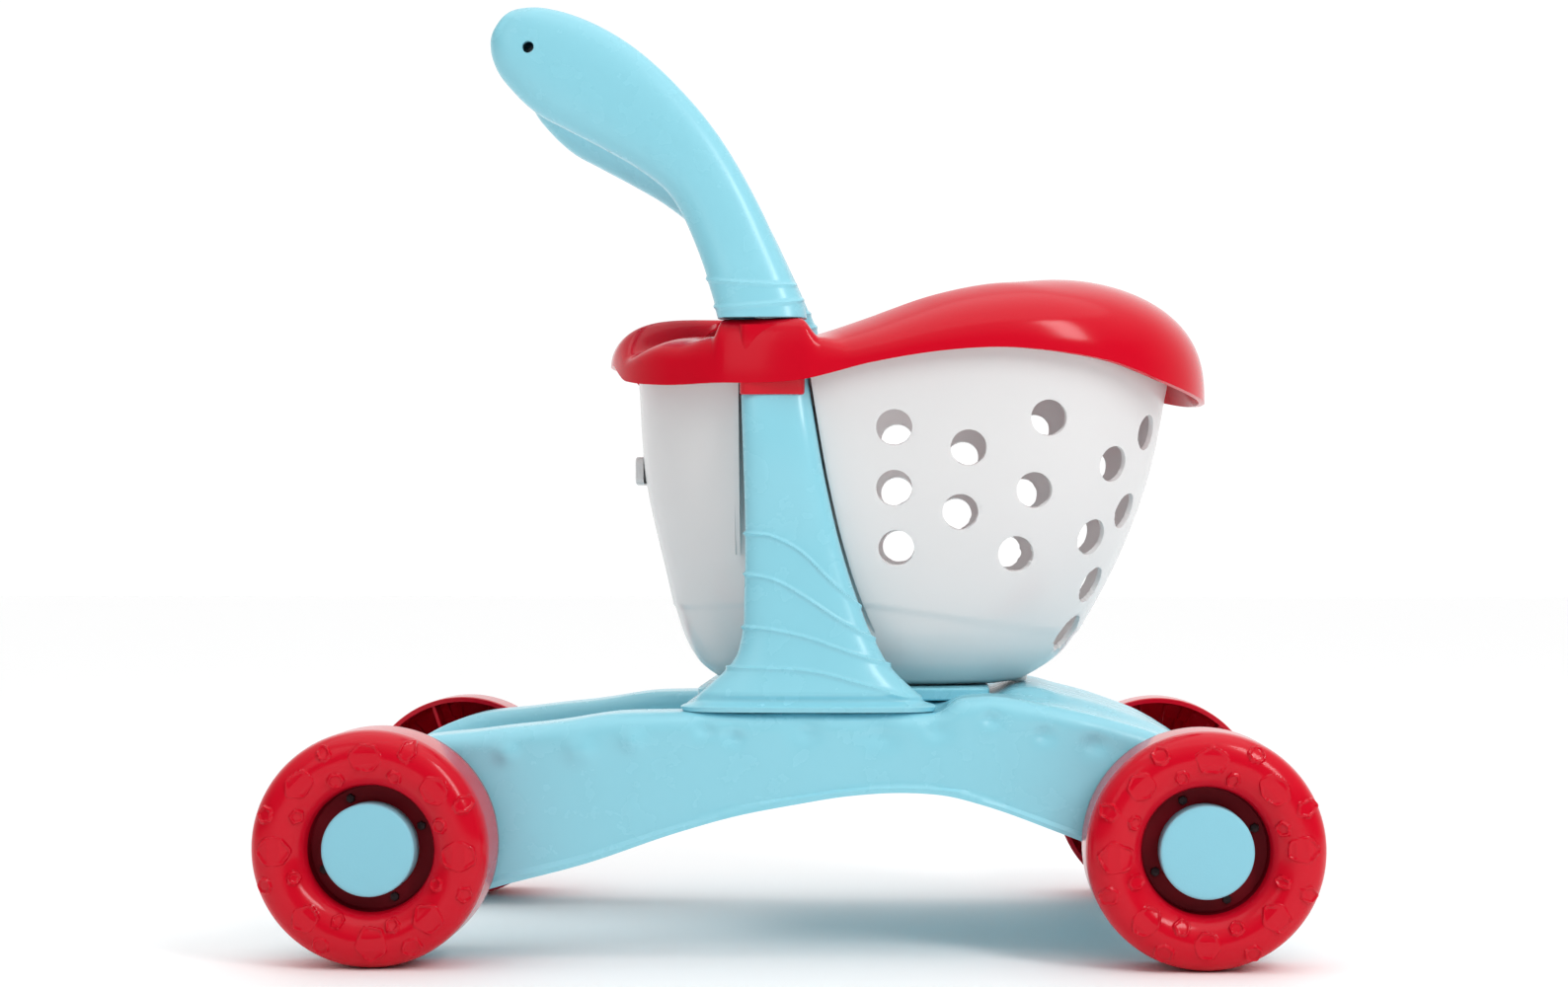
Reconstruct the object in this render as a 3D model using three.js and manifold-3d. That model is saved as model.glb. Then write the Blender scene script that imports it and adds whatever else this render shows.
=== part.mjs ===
// Child's push-along shopping cart: a moulded base on four wheels, two pillars,
// a perforated basket with a moulded rim, and a curved two-arm handle.
// Millimetres, +X forward, +Y left, +Z up, origin on the floor midway between the axles.

import * as THREE from 'three';
import { mergeVertices } from 'three/addons/utils/BufferGeometryUtils.js';
import Module from 'manifold-3d';

const wasm = await Module();
wasm.setup();

// Driving dimensions
const GAP = 0.3;
const WHEEL_R = 57.5;
const HALF_WHEELBASE = 200.5;
const WHEEL_INNER_Y = 118;
const RAIL_INNER_Y = 73;
const RAIL_OUTER_Y = 115;
const RAIL_WALL = 3;
const HOOD_WALL = 4;
const BOSS_R = 10;
const PAD_Z = 121;
const DECK_UNDER_Z = 124.5;
const DECK_TOP_Z = 131;
const BASKET_BOTTOM_Z = 134;
const BASKET_WALL = 2.5;
const RIM_WALL = 3;
const COLLAR_TOP_Z = 316;
const PILLAR_TOP_Z = 300;
const PILLAR_Y = 90;
const SLEEVE_Y = 91;
const GROOVE_Y = 75;
const HOLE_R = 9;
const AXLE_R = 3;
const SCREW_R = 1.6;
const SCREW_HEAD_R = 2.7;
const FOOT_SCREW_X = [-38, 52];
const FOOT_SCREW_Y = 94;
const BASKET_SCREW_X = [-6, 80];
const BASKET_SCREW_Y = 30;
const BASKET_EDGE_RISE = 7;
const BASKET_POWER = 2.7;
const REAR_FLAP_REACH = 26;
const REAR_FLAP_LIFT = 14;
const PEG_R = 6.6;
const PEG_X = -12;
const PEG_TOP_Z = 332;
const BAR_X = -132.3;
const BAR_Z = 452.6;
const BAR_R = 13.5;
const ARM_WALL = 3;
const BAR_TENON_R = 8;
const WHEEL_SCREW_RING = 26;
const WHEEL_SCREW_R = 1.1;
const RIB_COUNT = 6;

const blue = { color: 0x9fdcec, roughness: 0.32, metalness: 0 };
const red = { color: 0xdc1a34, roughness: 0.25, metalness: 0 };
const white = { color: 0xe9e9ea, roughness: 0.3, metalness: 0 };
const darkRed = { color: 0xa8122a, roughness: 0.4, metalness: 0 };
const steel = { color: 0x9a9da1, roughness: 0.35, metalness: 1 };

const cart = new THREE.Group();
const SIDES = [['left', 1], ['right', -1]];
const ENDS = [['front', 1], ['rear', -1]];

function addMesh(name, geometry, finish, parent = cart) {
  const mesh = new THREE.Mesh(geometry, new THREE.MeshStandardMaterial(finish));
  mesh.name = name;
  parent.add(mesh);
  return mesh;
}

// Closed geometry <-> manifold solid
function toSolid(geometry) {
  const bare = geometry.clone();
  bare.deleteAttribute('normal');
  bare.deleteAttribute('uv');
  const merged = mergeVertices(bare, 1e-4);
  return new wasm.Manifold(new wasm.Mesh({
    numProp: 3,
    vertProperties: new Float32Array(merged.attributes.position.array),
    triVerts: new Uint32Array(merged.index.array),
  }));
}

function toGeometry(solid) {
  const mesh = solid.getMesh();
  const geometry = new THREE.BufferGeometry();
  geometry.setAttribute('position', new THREE.BufferAttribute(new Float32Array(mesh.vertProperties), 3));
  geometry.setIndex(new THREE.BufferAttribute(new Uint32Array(mesh.triVerts), 1));
  return geometry;
}

function placed(geometry, x, y, z) {
  return toSolid(geometry.clone().translate(x, y, z));
}

// Outline in X and Z, carried along Y from y0 to y1
function slab(points, y0, y1) {
  const shape = new THREE.Shape(points.map(([x, z]) => new THREE.Vector2(x, z)));
  const geometry = new THREE.ExtrudeGeometry(shape, { depth: y1 - y0, bevelEnabled: false });
  geometry.rotateX(Math.PI / 2);
  geometry.translate(0, y1, 0);
  return toSolid(geometry);
}

// Skin over a list of rings with equal point counts, closed by flat fans at both ends
function skin(rings) {
  const count = rings[0].length;
  const points = rings.flat();
  const index = [];
  for (let i = 0; i < rings.length - 1; i += 1) {
    for (let j = 0; j < count; j += 1) {
      const a = i * count + j;
      const b = i * count + ((j + 1) % count);
      index.push(a, b, b + count, a, b + count, a + count);
    }
  }
  for (const [ring, flip] of [[0, true], [rings.length - 1, false]]) {
    const centre = rings[ring].reduce((sum, p) => sum.add(p), new THREE.Vector3()).divideScalar(count);
    const hub = points.push(centre) - 1;
    for (let j = 0; j < count; j += 1) {
      const a = ring * count + j;
      const b = ring * count + ((j + 1) % count);
      index.push(...(flip ? [hub, b, a] : [hub, a, b]));
    }
  }
  const geometry = new THREE.BufferGeometry().setFromPoints(points);
  geometry.setIndex(index);
  return toSolid(geometry);
}

// Straight-line interpolation through a short list of [x, value] pairs
function follow(pairs, x) {
  if (x <= pairs[0][0]) return pairs[0][1];
  for (let i = 1; i < pairs.length; i += 1) {
    if (x <= pairs[i][0]) {
      const t = (x - pairs[i - 1][0]) / (pairs[i][0] - pairs[i - 1][0]);
      return pairs[i - 1][1] + t * (pairs[i][1] - pairs[i - 1][1]);
    }
  }
  return pairs[pairs.length - 1][1];
}

// Cylinder along Y between two Y values
function rodY(radius, x, z, y0, y1, sides = 16) {
  const geometry = new THREE.CylinderGeometry(radius, radius, Math.abs(y1 - y0), sides);
  return placed(geometry, x, (y0 + y1) / 2, z);
}

function rodZ(radius, x, y, z0, z1, sides = 8) {
  const geometry = new THREE.CylinderGeometry(radius, radius, z1 - z0, sides);
  geometry.rotateX(Math.PI / 2);
  return placed(geometry, x, y, (z0 + z1) / 2);
}

function box(x0, x1, y0, y1, z0, z1) {
  const block = new THREE.BoxGeometry(x1 - x0, y1 - y0, z1 - z0);
  return placed(block, (x0 + x1) / 2, (y0 + y1) / 2, (z0 + z1) / 2);
}

// ---------------------------------------------------------------- base

const RAIL_BOTTOM = [[-226, 26], [-200, 20], [-172, 27], [-145, 35], [-100, 47], [-56, 62],
  [-28, 70], [2, 76], [30, 80.5], [58, 82], [78, 80], [95, 76], [134, 62], [165, 50], [200, 39], [224, 42]];
const RAIL_TOP = [[233, 60], [224, 84], [204, 100], [185, 109], [153, 118.7], [124, 126], [93, 129.5],
  [80, 128.2], [74, PAD_Z], [-56, PAD_Z], [-80, 120.5], [-112, 116.5], [-150, 112], [-187, 107],
  [-210, 98], [-232, 82], [-240, 58], [-238, 38]];
const HOOD_TOP = [[-55, DECK_UNDER_Z], [100, DECK_UNDER_Z], [105, 129.5], [112, 132.2], [120, 132.8],
  [132, 129.8], [147, 124.5], [162, 120], [177, 114.6], [190, 109], [201, 100], [208, 84], [210, 62],
  [206, 46]];

const RAIL_HOLLOW_X = [-233, 227];

function railSolid(side) {
  const lo = side > 0 ? RAIL_INNER_Y : -RAIL_OUTER_Y;
  const hi = side > 0 ? RAIL_OUTER_Y : -RAIL_INNER_Y;
  const outer = slab([...RAIL_BOTTOM, ...RAIL_TOP], lo, hi);
  const [rear, front] = RAIL_HOLLOW_X;
  const inside = RAIL_TOP.map(([x, z]) => [THREE.MathUtils.clamp(x, rear, front), z - RAIL_WALL - 1]);
  const hollow = slab([[rear, 0], [front, 0], ...inside], lo + RAIL_WALL, hi - RAIL_WALL);
  let rail = outer.subtract(hollow);
  for (const [, end] of ENDS) {
    const x = end * HALF_WHEELBASE;
    rail = rail.add(rodY(BOSS_R, x, WHEEL_R, side * (RAIL_INNER_Y + 1), side * (WHEEL_INNER_Y - 1), 14));
  }
  return rail;
}

function baseShell() {
  const topLine = HOOD_TOP.slice().reverse();
  const underLine = HOOD_TOP.map(([x, z]) => [x > 180 ? x - HOOD_WALL : x, x > 205 ? z : z - HOOD_WALL]);
  const hood = slab([...topLine, ...underLine], -RAIL_INNER_Y - 1, RAIL_INNER_Y + 1);
  const rearWall = box(-55, -51, -RAIL_INNER_Y - 1, RAIL_INNER_Y + 1, 96, DECK_UNDER_Z - 1);
  let shell = hood.add(rearWall).add(railSolid(1)).add(railSolid(-1));
  for (const [, side] of SIDES) {
    for (const [, end] of ENDS) {
      const x = end * HALF_WHEELBASE;
      shell = shell.subtract(rodY(AXLE_R + GAP, x, WHEEL_R, side * (RAIL_INNER_Y + 12), side * 122, 10));
    }
    for (const x of FOOT_SCREW_X) {
      shell = shell.subtract(rodZ(SCREW_R + GAP, x, side * FOOT_SCREW_Y, PAD_Z - 12, PAD_Z + 12));
    }
    for (const x of BASKET_SCREW_X) {
      const y = side * BASKET_SCREW_Y;
      shell = shell.subtract(rodZ(SCREW_R + GAP, x, y, DECK_UNDER_Z - 12, DECK_UNDER_Z + 3));
    }
  }
  return shell;
}

function centreDeck() {
  let deck = box(-50, 99.5, -RAIL_INNER_Y + 0.5, RAIL_INNER_Y - 0.5, DECK_UNDER_Z + GAP, DECK_TOP_Z);
  for (const [, side] of SIDES) {
    for (const x of BASKET_SCREW_X) {
      deck = deck.subtract(rodZ(SCREW_R + GAP, x, side * BASKET_SCREW_Y, DECK_UNDER_Z, DECK_TOP_Z + 1));
    }
  }
  return deck;
}

// ---------------------------------------------------------------- pillars

// Height, rear X, front X, inner |Y|, outer |Y|
const PILLAR_LEVELS = [
  [PAD_Z + GAP, -54, 71, 76, 115],
  [PAD_Z + 3, -54, 71, 76, 115],
  [PAD_Z + 3.4, -51, 68, 77, 113],
  [131, -43, 60, 77, 111],
  [141, -31, 50, 78, 108.5],
  [156, -24.5, 41, 79, 106],
  [178, -23, 32, 79, 104],
  [200, -23, 25, 79, 103],
  [229, -23.5, 18, 79, 102],
  [274, -25, 10, 79, 101],
  [PILLAR_TOP_Z, -26, 6, 79, 101],
];

// Rounded-box ring: superellipse of power n with half-sizes a and b
function ringAt(cx, cy, z, a, b, power, count = 20) {
  const ring = [];
  for (let i = 0; i < count; i += 1) {
    const t = (i / count) * Math.PI * 2;
    const c = Math.cos(t);
    const s = Math.sin(t);
    const x = cx + a * Math.sign(c) * Math.abs(c) ** (2 / power);
    const y = cy + b * Math.sign(s) * Math.abs(s) ** (2 / power);
    ring.push(new THREE.Vector3(x, y, z));
  }
  return ring;
}

function pillarSolid(side, grow = 0, levels = PILLAR_LEVELS) {
  const rings = levels.map(([z, x0, x1, y0, y1]) => ringAt(
    (x0 + x1) / 2, side * (y0 + y1) / 2, z, (x1 - x0) / 2 + grow, (y1 - y0) / 2 + grow, 3));
  return skin(rings);
}

function pillar(side) {
  let post = pillarSolid(side);
  for (const x of FOOT_SCREW_X) {
    post = post.subtract(rodZ(SCREW_R + GAP, x, side * FOOT_SCREW_Y, PAD_Z - 1, PAD_Z + 5.5));
  }
  const socket = rodZ(PEG_R + 2 * GAP, PEG_X, side * PILLAR_Y, PILLAR_TOP_Z - 14, PILLAR_TOP_Z + 1, 16);
  return post.subtract(socket);
}

// ---------------------------------------------------------------- basket

// Height, rear X, front X, half width
const BASKET_LEVELS = [
  [BASKET_BOTTOM_Z, -38, 113, 52],
  [BASKET_BOTTOM_Z + 4, -46, 128, 62],
  [147, -57, 141, 70],
  [165, -64, 151, 76],
  [190, -70, 165, 83],
  [236, -80.5, 183, 92],
  [284, -84, 193, 98],
  [320, -85.5, 199, 101],
];
const RIM_UNDER = [[-85, 286], [-69, 284], [5, 285], [40, 294], [78, 299], [105, 300.5], [133, 299],
  [162, 294], [187, 284], [213, 277]];

function basketRing(z, x0, x1, half, inset, count = 28) {
  return ringAt((x0 + x1) / 2, 0, z, (x1 - x0) / 2 - inset, half - inset, BASKET_POWER, count);
}

function basketLevelAt(z) {
  const column = (k) => BASKET_LEVELS.map((level) => [level[0], level[k]]);
  return [follow(column(1), z), follow(column(2), z), follow(column(3), z)];
}

// Channel for a pillar in the basket's side, grown by the wall for the inner skin
function grooveSolid(side, grow) {
  const points = [[-31 - grow, 340], [-31 - grow, 150], [-45, 120], [64, 120], [48 + grow, 150],
    [38 + grow, 178], [31 + grow, 200], [24 + grow, 229], [15 + grow, 285], [11 + grow, 340]];
  const inner = GROOVE_Y - grow;
  return slab(points.reverse(), side > 0 ? inner : -150, side > 0 ? 150 : -inner);
}

// Everything above the basket's top edge, which runs parallel to the rim's lower edge
function aboveEdge(rise) {
  const line = RIM_UNDER.map(([x, z]) => [x, z + rise]);
  const rearEnd = [-150, line[0][1]];
  const frontEnd = [260, line[line.length - 1][1]];
  return slab([rearEnd, ...line, frontEnd, [260, 400], [-150, 400]], -150, 150);
}

// Hole centres on the side wall (X, Z)
const SIDE_HOLES = [[51, 262], [51, 232], [52, 202], [88, 252], [84, 220], [128, 267],
  [121, 231], [112, 199]];
// Hole centres round the front (angle from straight ahead, Z)
const FRONT_HOLES = [[31.5, 244.5], [31.5, 207.5], [21.5, 158], [21.5, 261], [22, 221], [23.5, 183],
  [0, 244], [0, 206], [0, 168]];

function frontHole(angle, z) {
  const [x0, x1, half] = basketLevelAt(z);
  const power = BASKET_POWER;
  const a = (x1 - x0) / 2;
  const c = Math.abs(Math.cos(angle));
  const s = Math.abs(Math.sin(angle));
  const reach = ((c / a) ** power + (s / half) ** power) ** (-1 / power);
  const x = c * reach;
  const y = s * reach;
  const turn = Math.sign(Math.sin(angle));
  const normal = new THREE.Vector3(x ** (power - 1) / a ** power, turn * y ** (power - 1) / half ** power, 0);
  normal.normalize();
  const cutter = new THREE.CylinderGeometry(HOLE_R, HOLE_R, 26, 8);
  cutter.applyQuaternion(new THREE.Quaternion().setFromUnitVectors(new THREE.Vector3(0, 1, 0), normal));
  return placed(cutter, (x0 + x1) / 2 + x, y * turn, z);
}

function basketTub() {
  let outer = skin(BASKET_LEVELS.map(([z, x0, x1, half]) => basketRing(z, x0, x1, half, 0)));
  let inner = skin(BASKET_LEVELS.map(([z, x0, x1, half], i) => basketRing(
    i === 0 ? z + BASKET_WALL : z + (i < 2 ? 1.5 : 0), x0, x1, half, BASKET_WALL)));
  for (const [, side] of SIDES) {
    outer = outer.subtract(grooveSolid(side, 0));
    inner = inner.subtract(grooveSolid(side, BASKET_WALL));
  }
  let tub = outer.subtract(inner).subtract(aboveEdge(BASKET_EDGE_RISE));
  for (const [x, z] of SIDE_HOLES) tub = tub.subtract(rodY(HOLE_R, x, z, -140, 140, 8));
  for (const [degrees, z] of FRONT_HOLES) {
    const angle = THREE.MathUtils.degToRad(degrees);
    tub = tub.subtract(frontHole(angle, z));
    if (degrees > 0) tub = tub.subtract(frontHole(-angle, z));
  }
  for (const [, side] of SIDES) {
    for (const x of BASKET_SCREW_X) {
      tub = tub.add(rodZ(7, x, side * BASKET_SCREW_Y, DECK_TOP_Z + GAP, BASKET_BOTTOM_Z + 1, 12));
      tub = tub.subtract(rodZ(SCREW_R + GAP, x, side * BASKET_SCREW_Y, DECK_TOP_Z, BASKET_BOTTOM_Z + 6));
    }
  }
  return tub;
}

function rearPlug() {
  return box(-86.5, -82.2, -12, 12, 235, 250);
}

// ---------------------------------------------------------------- rim

// Place along X and height of the rim's crown there
const RIM_CROWN = [[-70, 307], [5, 307], [20, 311], [38, 318], [54, 323],
  [71, 328], [92, 333], [110, 335.5], [127, 336.5], [150, 338], [170, 341], [213, 341]];

function rimRing(t) {
  const c = Math.cos(t);
  const s = Math.sin(t);
  const at = (cx, a, b, power) => new THREE.Vector2(
    cx + a * Math.sign(c) * Math.abs(c) ** (2 / power), b * Math.sign(s) * Math.abs(s) ** (2 / power));
  const edge = at(57, 156, 108, 2.6);
  const mouth = at(38, 106, 74, 2.8);
  const rear = Math.max(0, -c) ** 6 * Math.max(0, 1 - Math.abs(s) * 2.2);
  mouth.x += rear * REAR_FLAP_REACH;
  const low = follow(RIM_UNDER, edge.x) + rear * REAR_FLAP_LIFT / 2;
  const crown = follow(RIM_CROWN, mouth.x + (edge.x - mouth.x) * 0.25) + rear * REAR_FLAP_LIFT;
  const ring = [];
  const steps = 5;
  for (let i = 0; i <= steps; i += 1) {
    const u = (i / steps) * Math.PI / 2;
    const p = mouth.clone().lerp(edge, Math.sin(u) ** 1.15);
    ring.push(new THREE.Vector3(p.x, p.y, low + (crown - low) * Math.cos(u) ** 0.75));
  }
  const shrunk = edge.clone().sub(mouth);
  const length = shrunk.length();
  shrunk.multiplyScalar((length - RIM_WALL) / length);
  for (let i = steps; i >= 0; i -= 1) {
    const u = (i / steps) * Math.PI / 2;
    const p = mouth.clone().addScaledVector(shrunk, Math.sin(u) ** 1.15);
    ring.push(new THREE.Vector3(p.x, p.y, low + (crown - low - RIM_WALL) * Math.cos(u) ** 0.75));
  }
  return ring;
}

// Ring of sections joined round the loop, both ways closed
function loop(sections) {
  const count = sections[0].length;
  const total = sections.length;
  const index = [];
  for (let i = 0; i < total; i += 1) {
    for (let j = 0; j < count; j += 1) {
      const a = i * count + j;
      const b = i * count + ((j + 1) % count);
      const c = ((i + 1) % total) * count + j;
      const d = ((i + 1) % total) * count + ((j + 1) % count);
      index.push(a, d, c, a, b, d);
    }
  }
  const geometry = new THREE.BufferGeometry().setFromPoints(sections.flat());
  geometry.setIndex(index);
  return toSolid(geometry);
}

function basketRim() {
  const sections = [];
  const turns = 36;
  for (let i = 0; i < turns; i += 1) sections.push(rimRing((i / turns) * Math.PI * 2));
  let rim = loop(sections);
  for (const [, side] of SIDES) {
    const cy = side * PILLAR_Y;
    const collar = skin([
      ringAt(-9, side * SLEEVE_Y, 279, 21, 15, 4), ringAt(-9, side * SLEEVE_Y, 293, 21, 15, 4),
      ringAt(-12, cy, 300, 24.5, 16.5, 4), ringAt(-14, cy, COLLAR_TOP_Z, 22.5, 15.5, 4)]);
    const wide = PILLAR_LEVELS.slice(-3);
    wide[2] = [PILLAR_TOP_Z + 1, ...wide[2].slice(1)];
    const pegRoom = rodZ(PEG_R + 2 * GAP, PEG_X, cy, PILLAR_TOP_Z - 1, COLLAR_TOP_Z + 1, 16);
    rim = rim.add(collar).subtract(pillarSolid(side, GAP + 0.1, wide)).subtract(pegRoom);
  }
  return rim;
}

// ---------------------------------------------------------------- handle

// Along the arm: front/top edge X, Z, rear/under edge X, Z, centre |Y|, half depth in Y
const ARM_STATIONS = [
  [6.8, 316.3, -36, 316.3, 90, 14],
  [1.2, 333, -41, 330.5, 88, 13.5],
  [-6.8, 352, -47.8, 351, 84, 13],
  [-16, 372, -54.5, 367.5, 81, 13],
  [-26.8, 392, -65.5, 382.5, 78, 13],
  [-39, 411, -80.5, 394.3, 75, 13.5],
  [-55.3, 431, -97, 403.6, 72, 14],
  [-76.5, 451, -116, 414, 69.5, 15],
  [-92.4, 461.9, -130, 421.3, 68, 15.5],
  [-109, 469.6, -141, 431.7, 67, 15.5],
  [-129, 474.6, -150, 442.5, 66.5, 14],
  [-144.5, 471, -152.9, 455, 66.3, 9],
];

function armSection([x1, z1, x0, z0, y, depth], side, inset) {
  const centre = new THREE.Vector3((x0 + x1) / 2, side * y, (z0 + z1) / 2);
  const across = new THREE.Vector3(x1 - x0, 0, z1 - z0);
  const half = across.length() / 2 - inset;
  across.normalize();
  const ring = [];
  const count = 12;
  for (let i = 0; i < count; i += 1) {
    const t = (i / count) * Math.PI * 2;
    const c = Math.cos(t);
    const s = Math.sin(t);
    const u = half * Math.sign(c) * Math.abs(c) ** 0.85;
    const v = (depth - inset) * Math.sign(s) * Math.abs(s) ** 0.85;
    ring.push(centre.clone().addScaledVector(across, u).add(new THREE.Vector3(0, v, 0)));
  }
  return ring;
}

function armSolid(side, inset, skip) {
  const stations = skip ? ARM_STATIONS.slice(1, -2) : ARM_STATIONS;
  return skin(stations.map((station) => armSection(station, side, inset)));
}

// Slab either side of the parting surface, which follows the arm's centre line
function partingSlab(side, outward) {
  const far = 60;
  const rings = [];
  const heights = [270, 312, 340, 365, 384, 400, 416, 432, 446, 458, 480];
  const split = [[270, 90], [316.3, 90], [345, 84.5], [372, 79.5], [400, 75],
    [424, 71.5], [446, 68.5], [480, 66]];
  for (const z of heights) {
    const y = follow(split, z) * side + side * outward * GAP / 2;
    const y2 = y + side * outward * far;
    const ring = [[-220, y], [80, y], [80, y2], [-220, y2]].map(([x, yy]) => new THREE.Vector3(x, yy, z));
    rings.push(side * outward > 0 ? ring : ring.reverse());
  }
  return skin(rings);
}

function armHalf(side, outward) {
  const shell = armSolid(side, 0, false).subtract(armSolid(side, ARM_WALL, true));
  let half = shell.intersect(partingSlab(side, outward));
  const bar = rodY(BAR_TENON_R + GAP, BAR_X, BAR_Z, side * 40, side * (66.3 + GAP), 16);
  half = half.subtract(bar);
  half = half.subtract(rodY(SCREW_R + GAP, BAR_X, BAR_Z, side * 40, side * 90, 8));
  half = half.subtract(rodY(SCREW_HEAD_R + GAP, BAR_X, BAR_Z, side * 72, side * 95, 8));
  half = half.subtract(rodZ(PEG_R + 2 * GAP, PEG_X, side * PILLAR_Y, COLLAR_TOP_Z - 1, PEG_TOP_Z + 1, 16));
  return half;
}

// Straight peg that plugs the arm into the top of its pillar
function handlePeg(side) {
  return rodZ(PEG_R, PEG_X, side * PILLAR_Y, PILLAR_TOP_Z - 12, PEG_TOP_Z, 16);
}

function gripBar() {
  const profile = [[0, -60], [BAR_TENON_R, -60], [BAR_TENON_R, -50.5], [BAR_R - 1, -50.5], [BAR_R - 0.3, -44],
    [BAR_R + 0.5, 0], [BAR_R - 0.3, 44], [BAR_R - 1, 50.5], [BAR_TENON_R, 50.5], [BAR_TENON_R, 60], [0, 60]];
  const geometry = new THREE.LatheGeometry(profile.map(([r, y]) => new THREE.Vector2(r, y)), 20);
  let bar = placed(geometry, BAR_X, 0, BAR_Z);
  for (const [, side] of SIDES) {
    bar = bar.subtract(rodY(SCREW_R + GAP, BAR_X, BAR_Z, side * 44, side * 62, 8));
  }
  return bar;
}

// ---------------------------------------------------------------- wheels

// Radius and distance outward from the wheel's inner face, all round the shell's section
const SHELL_PROFILE = [[57.5, 0], [57.5, 31], [55, 38], [45, 42], [34, 39.5],
  [30.8, 34], [30, 24], [8.2, 24], [8.2, 21], [28.9, 21], [28.9, 8], [31, 8], [33, 35.5],
  [45, 39.2], [52.5, 35.5], [54.4, 30], [54.4, 0]];
const CORE_PROFILE = [[AXLE_R + 0.4, 2], [8, 2], [8, 12], [28.3, 12], [28.3, 20.7], [AXLE_R + 0.4, 20.7]];
const WASHER_PROFILE = [[AXLE_R + GAP, 21.1], [6.5, 21.1], [6.5, 22.5], [AXLE_R + GAP, 22.5]];
const PIN_PROFILE = [[0, -30], [AXLE_R, -30], [AXLE_R, 23], [5.5, 23], [5, 26], [0, 26.6]];
const CAP_PROFILE = [[0, 38], [21.6, 38], [22.5, 37], [22.5, 24.3], [20.3, 24.3], [20.3, 35.6], [0, 35.6]];

function lathe(profile, segments) {
  return new THREE.LatheGeometry(profile.map(([r, y]) => new THREE.Vector2(r, y)), segments);
}

function closedLathe(profile, segments) {
  return lathe([...profile, profile[0]], segments);
}

// Solids are turned about Y; a profile that runs the other way round is flipped to face out
function turned(geometry) {
  const solid = toSolid(geometry);
  if (solid.volume() > 0) return solid;
  const flipped = geometry.index ? geometry.clone() : mergeVertices(geometry.clone());
  const order = flipped.index.array;
  for (let i = 0; i < order.length; i += 3) [order[i], order[i + 1]] = [order[i + 1], order[i]];
  return toSolid(flipped);
}

function wheelShell() {
  let shell = turned(closedLathe(SHELL_PROFILE, 24));
  for (let i = 0; i < RIB_COUNT; i += 1) {
    const rib = new THREE.BoxGeometry(25, 16, 1.8);
    rib.translate(29.3 + 25 / 2, 10, 0);
    rib.rotateY((i / RIB_COUNT) * Math.PI * 2 + 0.2);
    shell = shell.add(toSolid(rib));
  }
  return drilled(shell, 20, 26);
}

function wheelCore() {
  return drilled(turned(closedLathe(CORE_PROFILE, 14)), 14, 22);
}

function screwPlace(i) {
  const angle = (i / 4) * Math.PI * 2 + 1.15;
  return [WHEEL_SCREW_RING * Math.cos(angle), WHEEL_SCREW_RING * Math.sin(angle)];
}

function drilled(solid, from, to) {
  let result = solid;
  for (let i = 0; i < 4; i += 1) {
    const [x, z] = screwPlace(i);
    result = result.subtract(rodY(WHEEL_SCREW_R + 2 * GAP, x, z, from, to, 6));
  }
  return result;
}

// Pan-head screw along +Y: the head's underside is at 0 and the shank points to -Y
function screwGeometry(headRadius, shankRadius, shank) {
  return toGeometry(turned(lathe([[0, -shank], [shankRadius, -shank], [shankRadius, 0], [headRadius, 0],
    [headRadius * 0.85, 1.5], [0, 1.8]], 6)));
}

const wheelPieces = {
  shell: toGeometry(wheelShell()),
  core: toGeometry(wheelCore()),
  cap: toGeometry(turned(lathe(CAP_PROFILE, 20))),
  screw: screwGeometry(2.4, WHEEL_SCREW_R, 8),
  washer: toGeometry(turned(closedLathe(WASHER_PROFILE, 10))),
  pin: toGeometry(turned(lathe(PIN_PROFILE, 10))),
};

// One wheel on its fixed axle pin, turned so that +Y in the group points away from the cart
function addWheel(endName, end, sideName, side) {
  const wheel = new THREE.Group();
  wheel.position.set(end * HALF_WHEELBASE, side * WHEEL_INNER_Y, WHEEL_R);
  wheel.rotation.x = side > 0 ? 0 : Math.PI;
  cart.add(wheel);
  const tag = `${endName}_${sideName}`;
  addMesh(`wheel_shell_${tag}`, wheelPieces.shell, red, wheel);
  addMesh(`wheel_core_${tag}`, wheelPieces.core, darkRed, wheel);
  addMesh(`hub_cap_${tag}`, wheelPieces.cap, blue, wheel);
  addMesh(`axle_washer_${tag}`, wheelPieces.washer, steel, wheel);
  addMesh(`axle_pin_${tag}`, wheelPieces.pin, steel, wheel);
  for (let i = 0; i < 4; i += 1) {
    const screw = addMesh(`wheel_screw_${tag}_${i + 1}`, wheelPieces.screw, steel, wheel);
    const [x, z] = screwPlace(i);
    screw.position.set(x, 24 + GAP, z);
  }
}

// ---------------------------------------------------------------- assembly

addMesh('base_shell', toGeometry(baseShell()), blue);
addMesh('centre_deck', toGeometry(centreDeck()), blue);
addMesh('basket_tub', toGeometry(basketTub()), white);
addMesh('basket_rim', toGeometry(basketRim()), red);
addMesh('rear_plug', toGeometry(rearPlug()), white);
addMesh('grip_bar', toGeometry(gripBar()), blue);

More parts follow.
